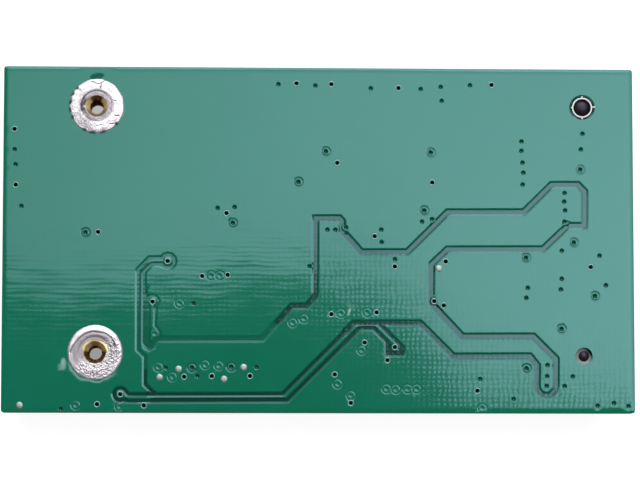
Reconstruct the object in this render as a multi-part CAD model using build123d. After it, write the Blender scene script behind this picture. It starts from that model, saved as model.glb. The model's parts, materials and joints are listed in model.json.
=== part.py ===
"""SSD adapter board, lying on its component side with the solder side up.

A printed circuit board carries, on its underside, an edge socket for a solid-state drive card,
two soldered brass standoffs for the card's screws, a flat-cable connector for the host and the
bridge circuit between them. Millimetres, +Z up, origin at the middle of the board's outline on
the surface that it lies on.
"""
import math
import os

from build123d import *

# Board
board_length = 62.0
board_width = 34.0
board_thickness = 1.6
board_corner_radius = 0.25
via_diameter = 0.36
via_sides = 5
groove_width = 0.48
groove_depth = 0.06
groove_corner_share = 0.36
overrun = 0.5

# Drive card that the board takes, and where it sits: insets are from the ends of the board
card_hole_spacing = 24.2
card_thickness = 1.0
card_axis_y = 0.95
card_hole_inset = 9.1
card_edge_inset = 4.85

# Standoffs, soldered through the board
standoff_height = 2.7
standoff_diameter = 4.4
standoff_chamfer = 0.2
shank_diameter = 3.0
shank_proud = 0.12
shank_clearance = 0.05
thread_bore = 1.3
thread_mouth = 2.1
thread_mouth_depth = 0.6
solder_diameter = 5.3
solder_height = 0.22
solder_crown = 0.45
solder_edge_height = 0.05

# Edge socket for the card; places along X are measured from the card's seated edge
socket_height = 5.2
socket_width = 29.9
socket_front = 3.1
socket_back = 2.9
socket_top_front = 2.2
socket_back_slope = 0.7
socket_back_slope_height = 0.9
slot_width = 26.6
slot_clearance = 0.05
slot_end = 0.25
slot_floor = standoff_height - slot_clearance
slot_roof = standoff_height + card_thickness + slot_clearance
slot_lead_in = 1.3
slot_lead_in_drop = 0.45
slot_roof_lead_in = 0.6
key_width = 1.2
contact_pitch = 0.8
contact_width = 0.3
contact_thickness = 0.2
contact_slit = 0.4
contact_reach = 1.3
contact_spring_rise = 0.3
contact_foot = 1.3
short_row = 8
long_row = 18
row_gap = 4.0
lower_row_back = 0.5
upper_row_depth = 0.4
peg_setback = 0.15
peg_spacing = 24.6
peg_diameters = (1.6, 1.1)
peg_hole_diameter = 1.7
peg_recess = 0.3
peg_shoulder_diameter = 1.6
peg_shoulder_height = 0.7
hold_down_length = 2.2
hold_down_height = 1.7
hold_down_foot = 0.9
hold_down_thickness = 0.25

# Flat-cable connector; places along X are measured from its rear face
ribbon_pitch = 0.5
ribbon_edge_gap = 0.3
ribbon_width = 25.4
ribbon_end_width = 2.05
ribbon_depth = 4.2
ribbon_height = 2.0
ribbon_base = 0.55
ribbon_roof = 0.4
ribbon_roof_depth = 3.0
ribbon_rear_wall = 0.9
ribbon_cavity_margin = 0.9
ribbon_contact_width = 0.2
ribbon_contact_thickness = 0.15
ribbon_contact_reach = 2.6
ribbon_contact_foot = 0.75
ribbon_tab_length = 1.6
ribbon_tab_height = 0.9
ribbon_tab_foot = 0.7
ribbon_tab_thickness = 0.2
slider_bar_depth = 1.0
slider_bar_bottom = 0.75
slider_arm_width = 0.9
slider_arm_length = 2.4
slider_tongue_length = 2.6
slider_tongue_thickness = 0.45
slider_clearance = 0.05
slider_grip_width = 8.0
slider_grip_depth = 0.3
slider_travel = 1.0
slider_lug = 0.25
slider_lug_length = 0.5

# Bridge chip
chip_size = 7.0
chip_height = 1.1
chip_standoff = 0.1
chip_bevel = 0.15
chip_leads_per_side = 12
chip_lead_pitch = 0.5
chip_lead_width = 0.22
chip_lead_thickness = 0.15
chip_lead_reach = 1.0
chip_lead_height = 0.6
chip_place_shares = (0.610, 0.435)

# Voltage regulator with a heat tab
regulator_size = (6.5, 3.5, 1.6)
regulator_lead_pitch = 2.3
regulator_lead_width = 0.7
regulator_tab_width = 3.0
regulator_lead_reach = 1.75
regulator_lead_thickness = 0.28
regulator_lead_height = 0.9
regulator_bevel = 0.3
regulator_place_shares = (0.320, 0.165)

# Crystal: a ceramic tray with a metal lid
crystal_size = (5.0, 3.2)
crystal_base_height = 0.8
crystal_lid_height = 0.25
crystal_lid_margin = 0.3
crystal_place_shares = (0.455, 0.250)

# Moulded bulk capacitors: body, then strap terminals folded under it
bulk_size = (3.4, 1.8, 1.7)
bulk_bevel = 0.25
bulk_strap_width = 1.2
bulk_strap_thickness = 0.13
bulk_strap_height = 0.8
bulk_strap_foot = 0.75
bulk_gap = 1.4
bulk_drops = (3.4, 2.0)

# Indicator lamp: a base with two plated ends and a clear block on it
lamp_size = (1.6, 0.8)
lamp_base_height = 0.3
lamp_lens_length = 1.1
lamp_lens_height = 0.45
lamp_clearance = 0.6
lamp_setback = 2.0

# Leadless chip parts: length, width, height, plated end
decoupling_size = (1.6, 0.8, 0.8, 0.35)
coupling_size = (1.0, 0.5, 0.5, 0.25)
resistor_size = (1.6, 0.8, 0.45, 0.3)
bead_size = (2.0, 1.25, 0.9, 0.4)
end_cap_proud = 0.02

# Four-resistor arrays: length, width, height
array_size = (2.0, 1.0, 0.4)
array_ways = 4
array_pad_width = 0.3
array_pad_depth = 0.22
array_count = 5
array_pitch = 2.5
array_x_share = 0.275

# Where the chip parts lie: shares of the board's length and width from its lower left, and a turn
decoupling_place_shares = (
    (0.505, 0.62, 90), (0.545, 0.66, 0), (0.665, 0.66, 0), (0.725, 0.55, 90),
    (0.725, 0.33, 90), (0.655, 0.20, 0), (0.560, 0.20, 0), (0.495, 0.37, 90),
)
coupling_place_shares = ((0.785, 0.70, 0), (0.785, 0.66, 0), (0.785, 0.58, 0), (0.785, 0.54, 0))
resistor_place_shares = ((0.400, 0.60, 0), (0.400, 0.54, 0), (0.400, 0.42, 0))
bead_place_shares = (0.770, 0.235, 90)

# The solder side as the photograph shows it: its corners and features as pixels of 640 by 480
top_left_pixel = (5.1, 65.2)
top_right_pixel = (631.1, 68.7)
bottom_left_pixel = (2.1, 411.4)
bottom_right_pixel = (636.7, 414.7)
open_via_pixels = (
    (15.4, 128.0), (15.4, 148.5), (16.4, 163.4), (16.6, 183.7), (22.2, 205.1),
    (277.3, 83.4), (295.4, 82.4), (314.1, 84.8), (330.2, 83.4), (369.5, 87.5), (397.3, 87.3),
    (419.4, 88.2), (439.4, 86.1), (440.5, 100.0), (468.7, 84.5), (490.3, 84.1),
    (325.0, 150.7), (336.4, 162.1), (297.7, 181.2), (217.3, 207.3), (226.1, 212.4),
    (234.1, 206.4), (232.4, 222.2), (429.7, 151.9), (431.5, 181.9),
    (520.6, 140.8), (520.5, 150.2), (521.7, 162.1), (522.6, 172.2), (522.0, 184.1),
    (581.8, 133.1), (580.2, 148.8), (579.8, 169.0), (564.1, 192.6), (563.8, 201.3),
    (564.7, 210.1), (564.2, 221.5),
    (85.9, 231.6), (98.4, 231.1), (167.7, 260.3), (202.1, 275.5), (211.0, 275.0),
    (219.7, 275.0), (227.4, 274.4), (152.7, 301.0), (193.6, 302.9),
    (326.8, 229.2), (334.8, 229.3), (345.4, 227.0), (374.1, 235.8), (380.6, 229.3),
    (381.1, 241.8), (309.2, 265.9), (394.5, 258.9), (394.5, 266.2), (423.6, 210.1),
    (421.4, 221.3), (431.4, 218.8), (445.4, 261.3), (434.2, 301.2), (443.6, 305.5),
    (331.2, 314.0), (376.4, 312.3), (364.6, 342.6), (394.9, 347.3), (387.5, 360.5),
    (573.8, 242.5), (561.7, 250.7), (525.8, 257.8), (599.7, 255.8), (591.0, 267.2),
    (561.9, 279.0), (561.2, 289.7), (527.8, 288.1), (526.4, 298.2), (606.3, 285.6),
    (595.4, 296.5), (562.0, 329.4),
    (548.2, 366.0), (547.8, 377.2), (547.4, 387.0), (527.1, 369.2), (480.5, 379.7),
    (477.9, 391.5), (514.3, 400.0), (573.6, 377.5), (565.5, 387.3), (598.9, 407.1),
    (615.3, 404.5), (630.0, 407.6),
    (166.1, 367.3), (192.2, 367.3), (184.4, 376.5), (197.7, 375.8), (212.0, 375.9),
    (231.4, 366.7), (256.7, 367.1), (250.1, 375.9), (61.7, 408.3), (97.7, 403.8),
    (144.3, 405.2), (120.7, 393.8), (334.8, 374.6), (351.0, 403.4),
)
supply_island_pixels = (
    (315.8, 217.3), (339.5, 217.3), (341.5, 221.0), (341.5, 229.5), (361.0, 251.5),
    (407.0, 251.5), (446.5, 212.0), (523.5, 212.0), (551.0, 184.0), (577.5, 184.0),
    (584.5, 191.0), (584.5, 225.3), (567.5, 225.3), (543.0, 248.8), (447.0, 248.8),
    (431.2, 264.0), (431.2, 303.0), (462.5, 336.3), (534.0, 336.3), (556.8, 359.0),
    (556.8, 388.0), (547.5, 396.5), (538.0, 388.0), (538.0, 366.0), (530.0, 356.3),
    (453.5, 356.3), (418.5, 321.3), (355.0, 321.3), (283.0, 393.6), (156.0, 393.6),
    (145.8, 384.0), (145.8, 355.5), (138.8, 348.5), (138.8, 269.0), (149.5, 257.6),
    (161.0, 257.2), (168.0, 253.6), (174.6, 260.3), (168.0, 267.0), (161.0, 263.4),
    (151.5, 263.6), (145.6, 269.8), (145.6, 341.0), (149.5, 345.5), (158.0, 338.3),
    (262.0, 338.3), (291.5, 305.5), (306.5, 305.5), (315.8, 295.5), (315.8, 217.3),
)
sense_trace_pixels = (
    (156.0, 393.6), (129.0, 393.6), (121.0, 386.6), (113.6, 394.0), (118.5, 399.3),
    (286.5, 399.3), (359.0, 327.2), (373.0, 327.2), (387.0, 341.0), (387.0, 354.3),
    (402.5, 354.3), (402.5, 346.0), (378.0, 321.3),
)
link_trace_pixels = ((148.6, 343.0), (148.6, 300.0), (152.7, 294.6), (157.0, 299.5), (156.6, 325.0),
                     (161.0, 331.5), (159.5, 338.3))

# Levels and places that follow from the sizes above
front_z = socket_height
back_z = front_z + board_thickness
standoff_x = card_hole_inset - board_length / 2
card_edge_x = board_length / 2 - card_edge_inset
front_face = Plane(origin=(0, 0, front_z), x_dir=(1, 0, 0), z_dir=(0, 0, -1))
standoff_places = {
    "upper": (standoff_x, card_axis_y + card_hole_spacing / 2),
    "lower": (standoff_x, card_axis_y - card_hole_spacing / 2),
}
peg_x = card_edge_x - peg_setback
peg_places = (
    (peg_x, card_axis_y + peg_spacing / 2),
    (peg_x, card_axis_y - peg_spacing / 2),
)
ribbon_rear_x = -board_length / 2 + ribbon_edge_gap + slider_bar_depth + ribbon_depth
ribbon_end_y = card_axis_y + ribbon_width / 2 + ribbon_tab_foot
lamp_spot = (ribbon_rear_x - lamp_setback, ribbon_end_y + lamp_clearance + lamp_size[1] / 2)
lamp_resistor_spot = (lamp_spot[0] + lamp_size[0] / 2 + lamp_clearance + resistor_size[0] / 2, lamp_spot[1])


def view_terms():
    """The eight terms of the perspective view that takes shares of the board to pixels."""
    corners = (bottom_left_pixel, bottom_right_pixel, top_right_pixel, top_left_pixel)
    (x0, y0), (x1, y1), (x2, y2), (x3, y3) = corners
    skew_x, skew_y = x0 - x1 + x2 - x3, y0 - y1 + y2 - y3
    right_x, right_y = x1 - x2, y1 - y2
    top_x, top_y = x3 - x2, y3 - y2
    spread = right_x * top_y - top_x * right_y
    g = (skew_x * top_y - top_x * skew_y) / spread
    h = (right_x * skew_y - skew_x * right_y) / spread
    return (x1 - x0 + g * x1, x3 - x0 + h * x3, x0, y1 - y0 + g * y1, y3 - y0 + h * y3, y0, g, h)


def on_board(pixel):
    """A pixel of the photographed solder side as X and Y on the board."""
    a, b, c, d, e, f, g, h = view_terms()
    x, y = pixel
    across_x, up_x, gap_x = a - g * x, b - h * x, x - c
    across_y, up_y, gap_y = d - g * y, e - h * y, y - f
    spread = across_x * up_y - up_x * across_y
    return place((gap_x * up_y - up_x * gap_y) / spread, (across_x * gap_y - gap_x * across_y) / spread)


def place(x_share, y_share):
    """X and Y at shares of the board's length and width from its lower left corner."""
    return ((x_share - 0.5) * board_length, (y_share - 0.5) * board_width)


def on_front(shape, spot, turn=0):
    """A part drawn upright on its own datum, set on the component side at a spot."""
    return front_face.location * Pos(spot[0], -spot[1], 0) * Rot(0, 0, turn) * shape


def block(x_span, y_span, z_span):
    """A box between two corners."""
    sizes = [high - low for low, high in (x_span, y_span, z_span)]
    middles = [(high + low) / 2 for low, high in (x_span, y_span, z_span)]
    return Pos(*middles) * Box(*sizes)


def across(half_width):
    """The span of a width centred on zero."""
    return (-half_width, half_width)


def prism(section, width):
    """A section drawn in X and Z, run across Y over a width centred on zero."""
    face = make_face(Polyline(*section, close=True))
    return extrude(Plane.XZ * face, amount=width / 2, both=True)


def bent_strip(path, thickness, width):
    """A strip of sheet metal that follows a path in X and Z, with mitred bends."""
    points = [Vector(x, z) for x, z in path]
    runs = [(b - a).normalized() for a, b in zip(points, points[1:])]
    sides = []
    for index, point in enumerate(points):
        before = runs[max(index - 1, 0)]
        after = runs[min(index, len(runs) - 1)]
        middle = (before + after).normalized()
        mitre = Vector(-middle.Y, middle.X) * (thickness / 2 / middle.dot(after))
        sides.append((point + mitre, point - mitre))
    outline = [side[0] for side in sides] + [side[1] for side in reversed(sides)]
    return prism([(corner.X, corner.Y) for corner in outline], width)


def row_places(count, pitch):
    """Places of a row of like things, centred on zero."""
    return [(index - (count - 1) / 2) * pitch for index in range(count)]


# Board


def groove_runs(pixels):
    """Straight runs of the channel left between two areas of copper, through a line of pixels."""
    points = [Vector(*on_board(pixel)) for pixel in pixels]
    runs = []
    for start, end in zip(points, points[1:]):
        along = end - start
        middle = (start + end) / 2
        turn = math.degrees(math.atan2(along.Y, along.X))
        run = Rectangle(along.length + groove_corner_share * groove_width, groove_width)
        runs.append(Pos(middle.X, middle.Y) * Rot(0, 0, turn) * run)
    return runs


def grooves():
    """The channels round the supply island and along two thin traces, as one cutter."""
    runs = groove_runs(supply_island_pixels) + groove_runs(sense_trace_pixels) + groove_runs(link_trace_pixels)
    return Pos(0, 0, back_z - groove_depth) * extrude(Sketch() + runs, amount=groove_depth + overrun)


def circuit_board():
    outline = RectangleRounded(board_length, board_width, board_corner_radius)
    board = Pos(0, 0, front_z) * extrude(outline, amount=board_thickness)
    drill_length = board_thickness + 2 * overrun
    drill_z = front_z + board_thickness / 2
    shank_hole = shank_diameter / 2 + shank_clearance
    cuts = [Pos(*spot, drill_z) * Cylinder(shank_hole, drill_length) for spot in standoff_places.values()]
    cuts += [Pos(*spot, drill_z) * Cylinder(peg_hole_diameter / 2, drill_length) for spot in peg_places]
    via = extrude(RegularPolygon(via_diameter / 2, via_sides), amount=drill_length / 2, both=True)
    cuts += [Pos(*on_board(pixel), drill_z) * via for pixel in open_via_pixels]
    return board.cut(*cuts) - grooves()


# Standoffs and their solder


def standoff():
    """Turned brass spacer: a shouldered body, a shank through the board and a threaded bore."""
    top = standoff_height
    foot = -board_thickness - shank_proud
    bore, mouth = thread_bore / 2, thread_mouth / 2
    body, shank = standoff_diameter / 2, shank_diameter / 2
    section = Polyline(
        (bore, foot + thread_mouth_depth), (mouth, foot), (shank, foot), (shank, 0), (body, 0),
        (body, top - standoff_chamfer), (body - standoff_chamfer, top), (bore, top), close=True,
    )
    return revolve(Plane.XZ * make_face(section), axis=Axis.Z)


def standoff_solder():
    """Solder round the shank on the solder side: high at the shank, thin at the rim of its pad."""
    shank, rim = shank_diameter / 2, solder_diameter / 2
    section = Polyline(
        (shank, 0), (rim, 0), (rim, solder_edge_height),
        (shank + solder_crown, solder_height), (shank, solder_height), close=True,
    )
    return revolve(Plane.XZ * make_face(section), axis=Axis.Z)


# Edge socket


def socket_rows():
    """Places along the row of the socket's contacts, in two groups either side of the key."""
    span = (short_row + long_row - 2) * contact_pitch + row_gap
    short = [span / 2 - index * contact_pitch for index in range(short_row)]
    long = [-span / 2 + index * contact_pitch for index in range(long_row)]
    return sorted(short + long)


def key_place():
    """Middle of the gap between the socket's two groups of contacts."""
    rows = socket_rows()
    return (rows[long_row - 1] + rows[long_row]) / 2


def socket_housing():
    front, back, top = -socket_front, socket_back, socket_height
    body = prism(
        [(front, 0), (back, 0), (back, top - socket_back_slope_height), (back - socket_back_slope, top),
         (-socket_top_front, top), (-socket_top_front, slot_roof), (front, slot_roof)],
        socket_width,
    )
    slot = prism(
        [(front - overrun, slot_floor - slot_lead_in_drop), (front, slot_floor - slot_lead_in_drop),
         (front + slot_lead_in, slot_floor), (slot_end, slot_floor), (slot_end, slot_roof),
         (slot_roof_lead_in - socket_top_front, slot_roof),
         (-socket_top_front, slot_roof + slot_clearance + contact_thickness),
         (front - overrun, slot_roof + slot_clearance + contact_thickness)],
        slot_width,
    )
    key = Pos(0, key_place(), 0) * prism(
        [(front + slot_lead_in, slot_floor), (slot_end, slot_floor), (slot_end, slot_roof),
         (front + slot_lead_in, slot_roof)],
        key_width,
    )
    spring_roof = slot_roof + contact_spring_rise + contact_thickness
    spring_x = (-contact_reach - contact_thickness, back - upper_row_depth)
    rear_slit = block((back - upper_row_depth, back + overrun), across(contact_slit / 2),
                      (-overrun, spring_roof))
    lower_slit = block((front - overrun, lower_row_back), across(contact_slit / 2),
                       (-overrun, slot_floor + slot_clearance))
    cuts = [slot]
    for group in (socket_rows()[:long_row], socket_rows()[long_row:]):
        group_y = (group[0] - contact_slit / 2, group[-1] + contact_slit / 2)
        cuts.append(block(spring_x, group_y, (slot_roof, spring_roof)))
    for spot in socket_rows():
        cuts.append(Pos(0, spot, 0) * rear_slit)
        cuts.append(Pos(0, spot + contact_pitch / 2, 0) * lower_slit)
    notch_x = across(hold_down_length / 2)
    notch_z = (-overrun, hold_down_height)
    inner = socket_width / 2 - hold_down_thickness
    cuts.append(block(notch_x, (inner, inner + overrun), notch_z))
    cuts.append(block(notch_x, (-inner - overrun, -inner), notch_z))
    housing = body.cut(*cuts) + key
    peg_length = board_thickness - peg_recess
    for side, diameter in zip((-1, 1), peg_diameters):
        peg = Pos(-peg_setback, side * peg_spacing / 2, -peg_length / 2) * Cylinder(diameter / 2, peg_length)
        housing += peg
        if diameter < peg_shoulder_diameter:
            shoulder = Cylinder(peg_shoulder_diameter / 2, peg_shoulder_height)
            housing += Pos(-peg_setback, side * peg_spacing / 2, -peg_shoulder_height / 2) * shoulder
    return housing


def socket_upper_contact():
    rear = socket_back - upper_row_depth + contact_thickness / 2
    level = slot_roof + contact_spring_rise
    tip = (-contact_reach, slot_roof)
    foot = contact_thickness / 2
    return bent_strip(
        [tip, (slot_end, level), (rear, level), (rear, foot), (socket_back + contact_foot, foot)],
        contact_thickness, contact_width,
    )


def socket_lower_contact():
    back = lower_row_back - contact_thickness / 2
    tip = (-contact_reach, slot_floor)
    foot = contact_thickness / 2
    return bent_strip(
        [tip, (back, slot_floor - contact_spring_rise), (back, foot), (-socket_front - contact_foot, foot)],
        contact_thickness, contact_width,
    )


def socket_contacts(contact, shift):
    return Compound(children=[Pos(0, spot + shift, 0) * contact for spot in socket_rows()])


def socket_hold_down(side):
    """Sheet-metal tab let into one end of the socket, with a foot soldered to the board."""
    inner = socket_width / 2 - hold_down_thickness
    outer = socket_width / 2
    plate = block(across(hold_down_length / 2), (inner, outer), (0, hold_down_height))
    foot = block(across(hold_down_length / 2), (outer, outer + hold_down_foot), (0, hold_down_thickness))
    return (plate + foot) if side > 0 else mirror(plate + foot, about=Plane.XZ)


# Flat-cable connector


def ribbon_cavity_half():
    return ribbon_width / 2 - ribbon_end_width


def ribbon_ways():
    """As many contacts as fit between the margins of the connector's cavity."""
    row = 2 * (ribbon_cavity_half() - ribbon_cavity_margin)
    return round(row / ribbon_pitch) + 1


def slider_arm_inner():
    return ribbon_width / 2 - slider_arm_width


def ribbon_housing():
    half = ribbon_width / 2
    body = prism(
        [(-ribbon_depth, 0), (0, 0), (0, ribbon_height), (-ribbon_roof_depth, ribbon_height),
         (-ribbon_depth, ribbon_height - ribbon_roof)],
        ribbon_width,
    )
    cavity = block((-ribbon_depth - overrun, -ribbon_rear_wall), across(ribbon_cavity_half()),
                   (ribbon_base, ribbon_height - ribbon_roof))
    mouth = block((-ribbon_depth - overrun, -ribbon_roof_depth), across(ribbon_cavity_half()),
                  (ribbon_base, ribbon_height + overrun))
    arm_back = -ribbon_depth + slider_arm_length + slider_clearance
    arm_bottom = slider_bar_bottom - slider_clearance
    arm_inner = slider_arm_inner() - slider_clearance
    lug_x = (-ribbon_depth + slider_arm_length - slider_lug_length - slider_travel - slider_clearance, arm_back)
    lug_inner = arm_inner - slider_lug
    tab_inner = half - ribbon_tab_thickness
    contact_gap = block((-ribbon_rear_wall - overrun, overrun), across(ribbon_cavity_half()),
                        (ribbon_base, ribbon_base + 2 * ribbon_contact_thickness))
    cuts = [cavity, mouth, contact_gap]
    for side in (-1, 1):
        cuts.append(block((-ribbon_depth - overrun, arm_back), sorted((side * arm_inner, side * (half + overrun))),
                          (arm_bottom, ribbon_height + overrun)))
        cuts.append(block(lug_x, sorted((side * lug_inner, side * (arm_inner + overrun))),
                          (arm_bottom, ribbon_height - ribbon_roof)))
        cuts.append(block((-ribbon_tab_length - ribbon_rear_wall, -ribbon_rear_wall),
                          sorted((side * tab_inner, side * (half + overrun))), (-overrun, arm_bottom)))
    return body.cut(*cuts)


def ribbon_lock_slider():
    """Lock that is pulled out to free the cable: a bar, a tongue over the cable and two side arms."""
    half = ribbon_width / 2
    bar_x = (-ribbon_depth - slider_bar_depth, -ribbon_depth - slider_clearance)
    bar = block(bar_x, across(half), (slider_bar_bottom, ribbon_height))
    grip = block((bar_x[0], bar_x[0] + slider_grip_depth), across(slider_grip_width / 2),
                 (slider_bar_bottom, ribbon_height))
    tongue_top = ribbon_height - ribbon_roof - slider_clearance
    tongue = block((bar_x[1], -ribbon_depth + slider_tongue_length),
                   across(ribbon_cavity_half() - slider_clearance),
                   (tongue_top - slider_tongue_thickness, tongue_top))
    slider = bar.cut(grip) + tongue
    for side in (-1, 1):
        slider += block((bar_x[1], -ribbon_depth + slider_arm_length),
                        sorted((side * slider_arm_inner(), side * half)), (slider_bar_bottom, tongue_top))
        lug_end = -ribbon_depth + slider_arm_length
        slider += block((lug_end - slider_lug_length, lug_end),
                        sorted((side * (slider_arm_inner() - slider_lug), side * slider_arm_inner())),
                        (slider_bar_bottom, tongue_top))
    return slider


def ribbon_contacts():
    half = ribbon_contact_thickness / 2
    level = ribbon_base + half
    contact = bent_strip(
        [(-ribbon_contact_reach, level), (half, level), (2 * ribbon_contact_thickness, half),
         (2 * ribbon_contact_thickness + ribbon_contact_foot, half)],
        ribbon_contact_thickness, ribbon_contact_width,
    )
    return Compound(children=[Pos(0, spot, 0) * contact for spot in row_places(ribbon_ways(), ribbon_pitch)])


def ribbon_tab(side):
    """Solder tab let into one end of the flat-cable connector."""
    half = ribbon_width / 2
    x_span = (-ribbon_tab_length - ribbon_rear_wall, -ribbon_rear_wall)
    height = min(ribbon_tab_height, slider_bar_bottom - slider_clearance)
    plate = block(x_span, (half - ribbon_tab_thickness, half), (0, height))
    foot = block(x_span, (half, half + ribbon_tab_foot), (0, ribbon_tab_thickness))
    return (plate + foot) if side > 0 else mirror(plate + foot, about=Plane.XZ)


# Bridge circuit


def chip_body():
    size = chip_size
    body = Pos(0, 0, (chip_standoff + chip_height) / 2) * Box(size, size, chip_height - chip_standoff)
    return chamfer(body.edges().group_by(Axis.Z)[-1], chip_bevel)


def chip_leads():
    half = chip_size / 2
    foot = chip_lead_thickness / 2
    bend = chip_lead_reach / 3
    lead = bent_strip(
        [(half, chip_lead_height), (half + bend, chip_lead_height), (half + 2 * bend, foot),
         (half + chip_lead_reach + bend, foot)],
        chip_lead_thickness, chip_lead_width,
    )
    leads = []
    for turn in (0, 90, 180, 270):
        for spot in row_places(chip_leads_per_side, chip_lead_pitch):
            leads.append(Rot(0, 0, turn) * Pos(0, spot, 0) * lead)
    return Compound(children=leads)


def regulator_body():
    length, width, height = regulator_size
    body = Pos(0, 0, height / 2) * Box(width, length, height)
    return chamfer(body.edges().group_by(Axis.Z)[-1], regulator_bevel)


def regulator_leads():
    """Three leads on one side of the regulator and a wide heat tab on the other."""
    half = regulator_size[1] / 2
    foot = regulator_lead_thickness / 2
    bend = regulator_lead_reach / 3
    path = [(half, regulator_lead_height), (half + bend, regulator_lead_height), (half + bend, foot),
            (half + regulator_lead_reach, foot)]
    lead = bent_strip(path, regulator_lead_thickness, regulator_lead_width)
    tab = bent_strip(path, regulator_lead_thickness, regulator_tab_width)
    leads = [Pos(0, spot, 0) * lead for spot in row_places(3, regulator_lead_pitch)]
    return Compound(children=leads + [Rot(0, 0, 180) * tab])


def crystal_base():
    return Pos(0, 0, crystal_base_height / 2) * Box(*crystal_size, crystal_base_height)


def crystal_lid():
    length, width = (size - 2 * crystal_lid_margin for size in crystal_size)
    lid = Pos(0, 0, crystal_base_height + crystal_lid_height / 2) * Box(length, width, crystal_lid_height)
    return chamfer(lid.edges().group_by(Axis.Z)[-1], crystal_lid_height / 3)


def bulk_body():
    length, width, height = bulk_size
    body = Pos(0, 0, (bulk_strap_thickness + height) / 2) * Box(length, width, height - bulk_strap_thickness)
    return chamfer(body.edges().group_by(Axis.Z)[-1].filter_by(Axis.Y), bulk_bevel)


def bulk_reach():
    """How far along X a bulk capacitor's middle lies from the regulator's."""
    regulator_half = regulator_size[1] / 2 + regulator_lead_reach
    return regulator_half + bulk_gap + bulk_strap_thickness + bulk_size[0] / 2


def bulk_straps():
    """Two metal straps that come out of the ends of the moulding and fold under it."""
    half = bulk_size[0] / 2
    thick = bulk_strap_thickness / 2
    strap = bent_strip(
        [(half + thick, bulk_strap_height), (half + thick, thick), (half - bulk_strap_foot, thick)],
        bulk_strap_thickness, bulk_strap_width,
    )
    return Compound(children=[strap, Rot(0, 0, 180) * strap])


def lamp_base():
    return Pos(0, 0, lamp_base_height / 2) * Box(*lamp_size, lamp_base_height)


def lamp_lens():
    lens = Pos(0, 0, lamp_base_height + lamp_lens_height / 2) * Box(lamp_lens_length, lamp_size[1],
                                                                   lamp_lens_height)
    return chamfer(lens.edges().group_by(Axis.Z)[-1].filter_by(Axis.Y), lamp_lens_height / 3)


def chip_part(size):
    """A leadless part: a ceramic bar between two plated end caps."""
    length, width, height, end = size
    bar = Pos(0, 0, height / 2) * Box(length - 2 * end, width - 2 * end_cap_proud, height - 2 * end_cap_proud)
    cap = Pos(length / 2 - end / 2, 0, height / 2) * Box(end, width, height)
    return Compound(children=[bar, cap, Rot(0, 0, 180) * cap])


def resistor_array():
    """Four resistors in one ceramic bar, with a plated pad at both ends of each."""
    length, width, height = array_size
    bar = Pos(0, 0, height / 2) * Box(width - 2 * array_pad_depth, length, height)
    pad_x = width / 2 - array_pad_depth / 2
    pad = Pos(pad_x, 0, height / 2) * Box(array_pad_depth, array_pad_width, height)
    pads = []
    for spot in row_places(array_ways, length / array_ways):
        pads += [Pos(0, spot, 0) * pad, Pos(-2 * pad_x, spot, 0) * pad]
    return Compound(children=[bar, *pads])


def chip_parts(name, size, spots):
    """Numbered nodes of one kind of chip part, each at its place and turn."""
    part = chip_part(size)
    return {
        f"{name}_{number}": on_front(part, place(x_share, y_share), turn)
        for number, (x_share, y_share, turn) in enumerate(spots, start=1)
    }


def assembly():
    nodes = {"circuit_board": circuit_board()}
    for name, spot in standoff_places.items():
        nodes[f"{name}_standoff"] = on_front(standoff(), spot)
        nodes[f"{name}_standoff_solder"] = Pos(*spot, back_z) * standoff_solder()

    socket_spot = (card_edge_x, card_axis_y)
    nodes["socket_housing"] = on_front(socket_housing(), socket_spot)
    nodes["socket_upper_contacts"] = on_front(socket_contacts(socket_upper_contact(), 0), socket_spot)
    nodes["socket_lower_contacts"] = on_front(
        socket_contacts(socket_lower_contact(), contact_pitch / 2), socket_spot)
    nodes["socket_upper_hold_down"] = on_front(socket_hold_down(-1), socket_spot)
    nodes["socket_lower_hold_down"] = on_front(socket_hold_down(1), socket_spot)

    ribbon_spot = (ribbon_rear_x, card_axis_y)
    nodes["ribbon_housing"] = on_front(ribbon_housing(), ribbon_spot)
    nodes["ribbon_lock_slider"] = on_front(ribbon_lock_slider(), ribbon_spot)
    nodes["ribbon_contacts"] = on_front(ribbon_contacts(), ribbon_spot)
    nodes["ribbon_upper_tab"] = on_front(ribbon_tab(-1), ribbon_spot)
    nodes["ribbon_lower_tab"] = on_front(ribbon_tab(1), ribbon_spot)

    chip_spot = place(*chip_place_shares)
    nodes["bridge_chip_body"] = on_front(chip_body(), chip_spot)
    nodes["bridge_chip_leads"] = on_front(chip_leads(), chip_spot)
    regulator_spot = place(*regulator_place_shares)
    nodes["regulator_body"] = on_front(regulator_body(), regulator_spot)
    nodes["regulator_leads"] = on_front(regulator_leads(), regulator_spot)
    crystal_spot = place(*crystal_place_shares)
    nodes["crystal_base"] = on_front(crystal_base(), crystal_spot)
    nodes["crystal_lid"] = on_front(crystal_lid(), crystal_spot)
    for name, side, drop in zip(("input", "output"), (-1, 1), bulk_drops):
        spot = (regulator_spot[0] + side * bulk_reach(), regulator_spot[1] - drop)
        nodes[f"{name}_bulk_capacitor_body"] = on_front(bulk_body(), spot)
        nodes[f"{name}_bulk_capacitor_straps"] = on_front(bulk_straps(), spot)
    nodes["indicator_lamp_base"] = on_front(lamp_base(), lamp_spot)
    nodes["indicator_lamp_lens"] = on_front(lamp_lens(), lamp_spot)

    nodes.update(chip_parts("decoupling_capacitor", decoupling_size, decoupling_place_shares))
    nodes.update(chip_parts("coupling_capacitor", coupling_size, coupling_place_shares))
    nodes.update(chip_parts("pull_up_resistor", resistor_size, resistor_place_shares))
    nodes["pull_up_resistor_4"] = on_front(chip_part(resistor_size), lamp_resistor_spot)
    nodes.update(chip_parts("filter_bead", bead_size, (bead_place_shares,)))
    array_x = place(array_x_share, 0)[0]
    for number, spot in enumerate(row_places(array_count, array_pitch), start=1):
        nodes[f"line_resistor_array_{number}"] = on_front(resistor_array(), (array_x, card_axis_y + spot))
    return nodes


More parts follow.
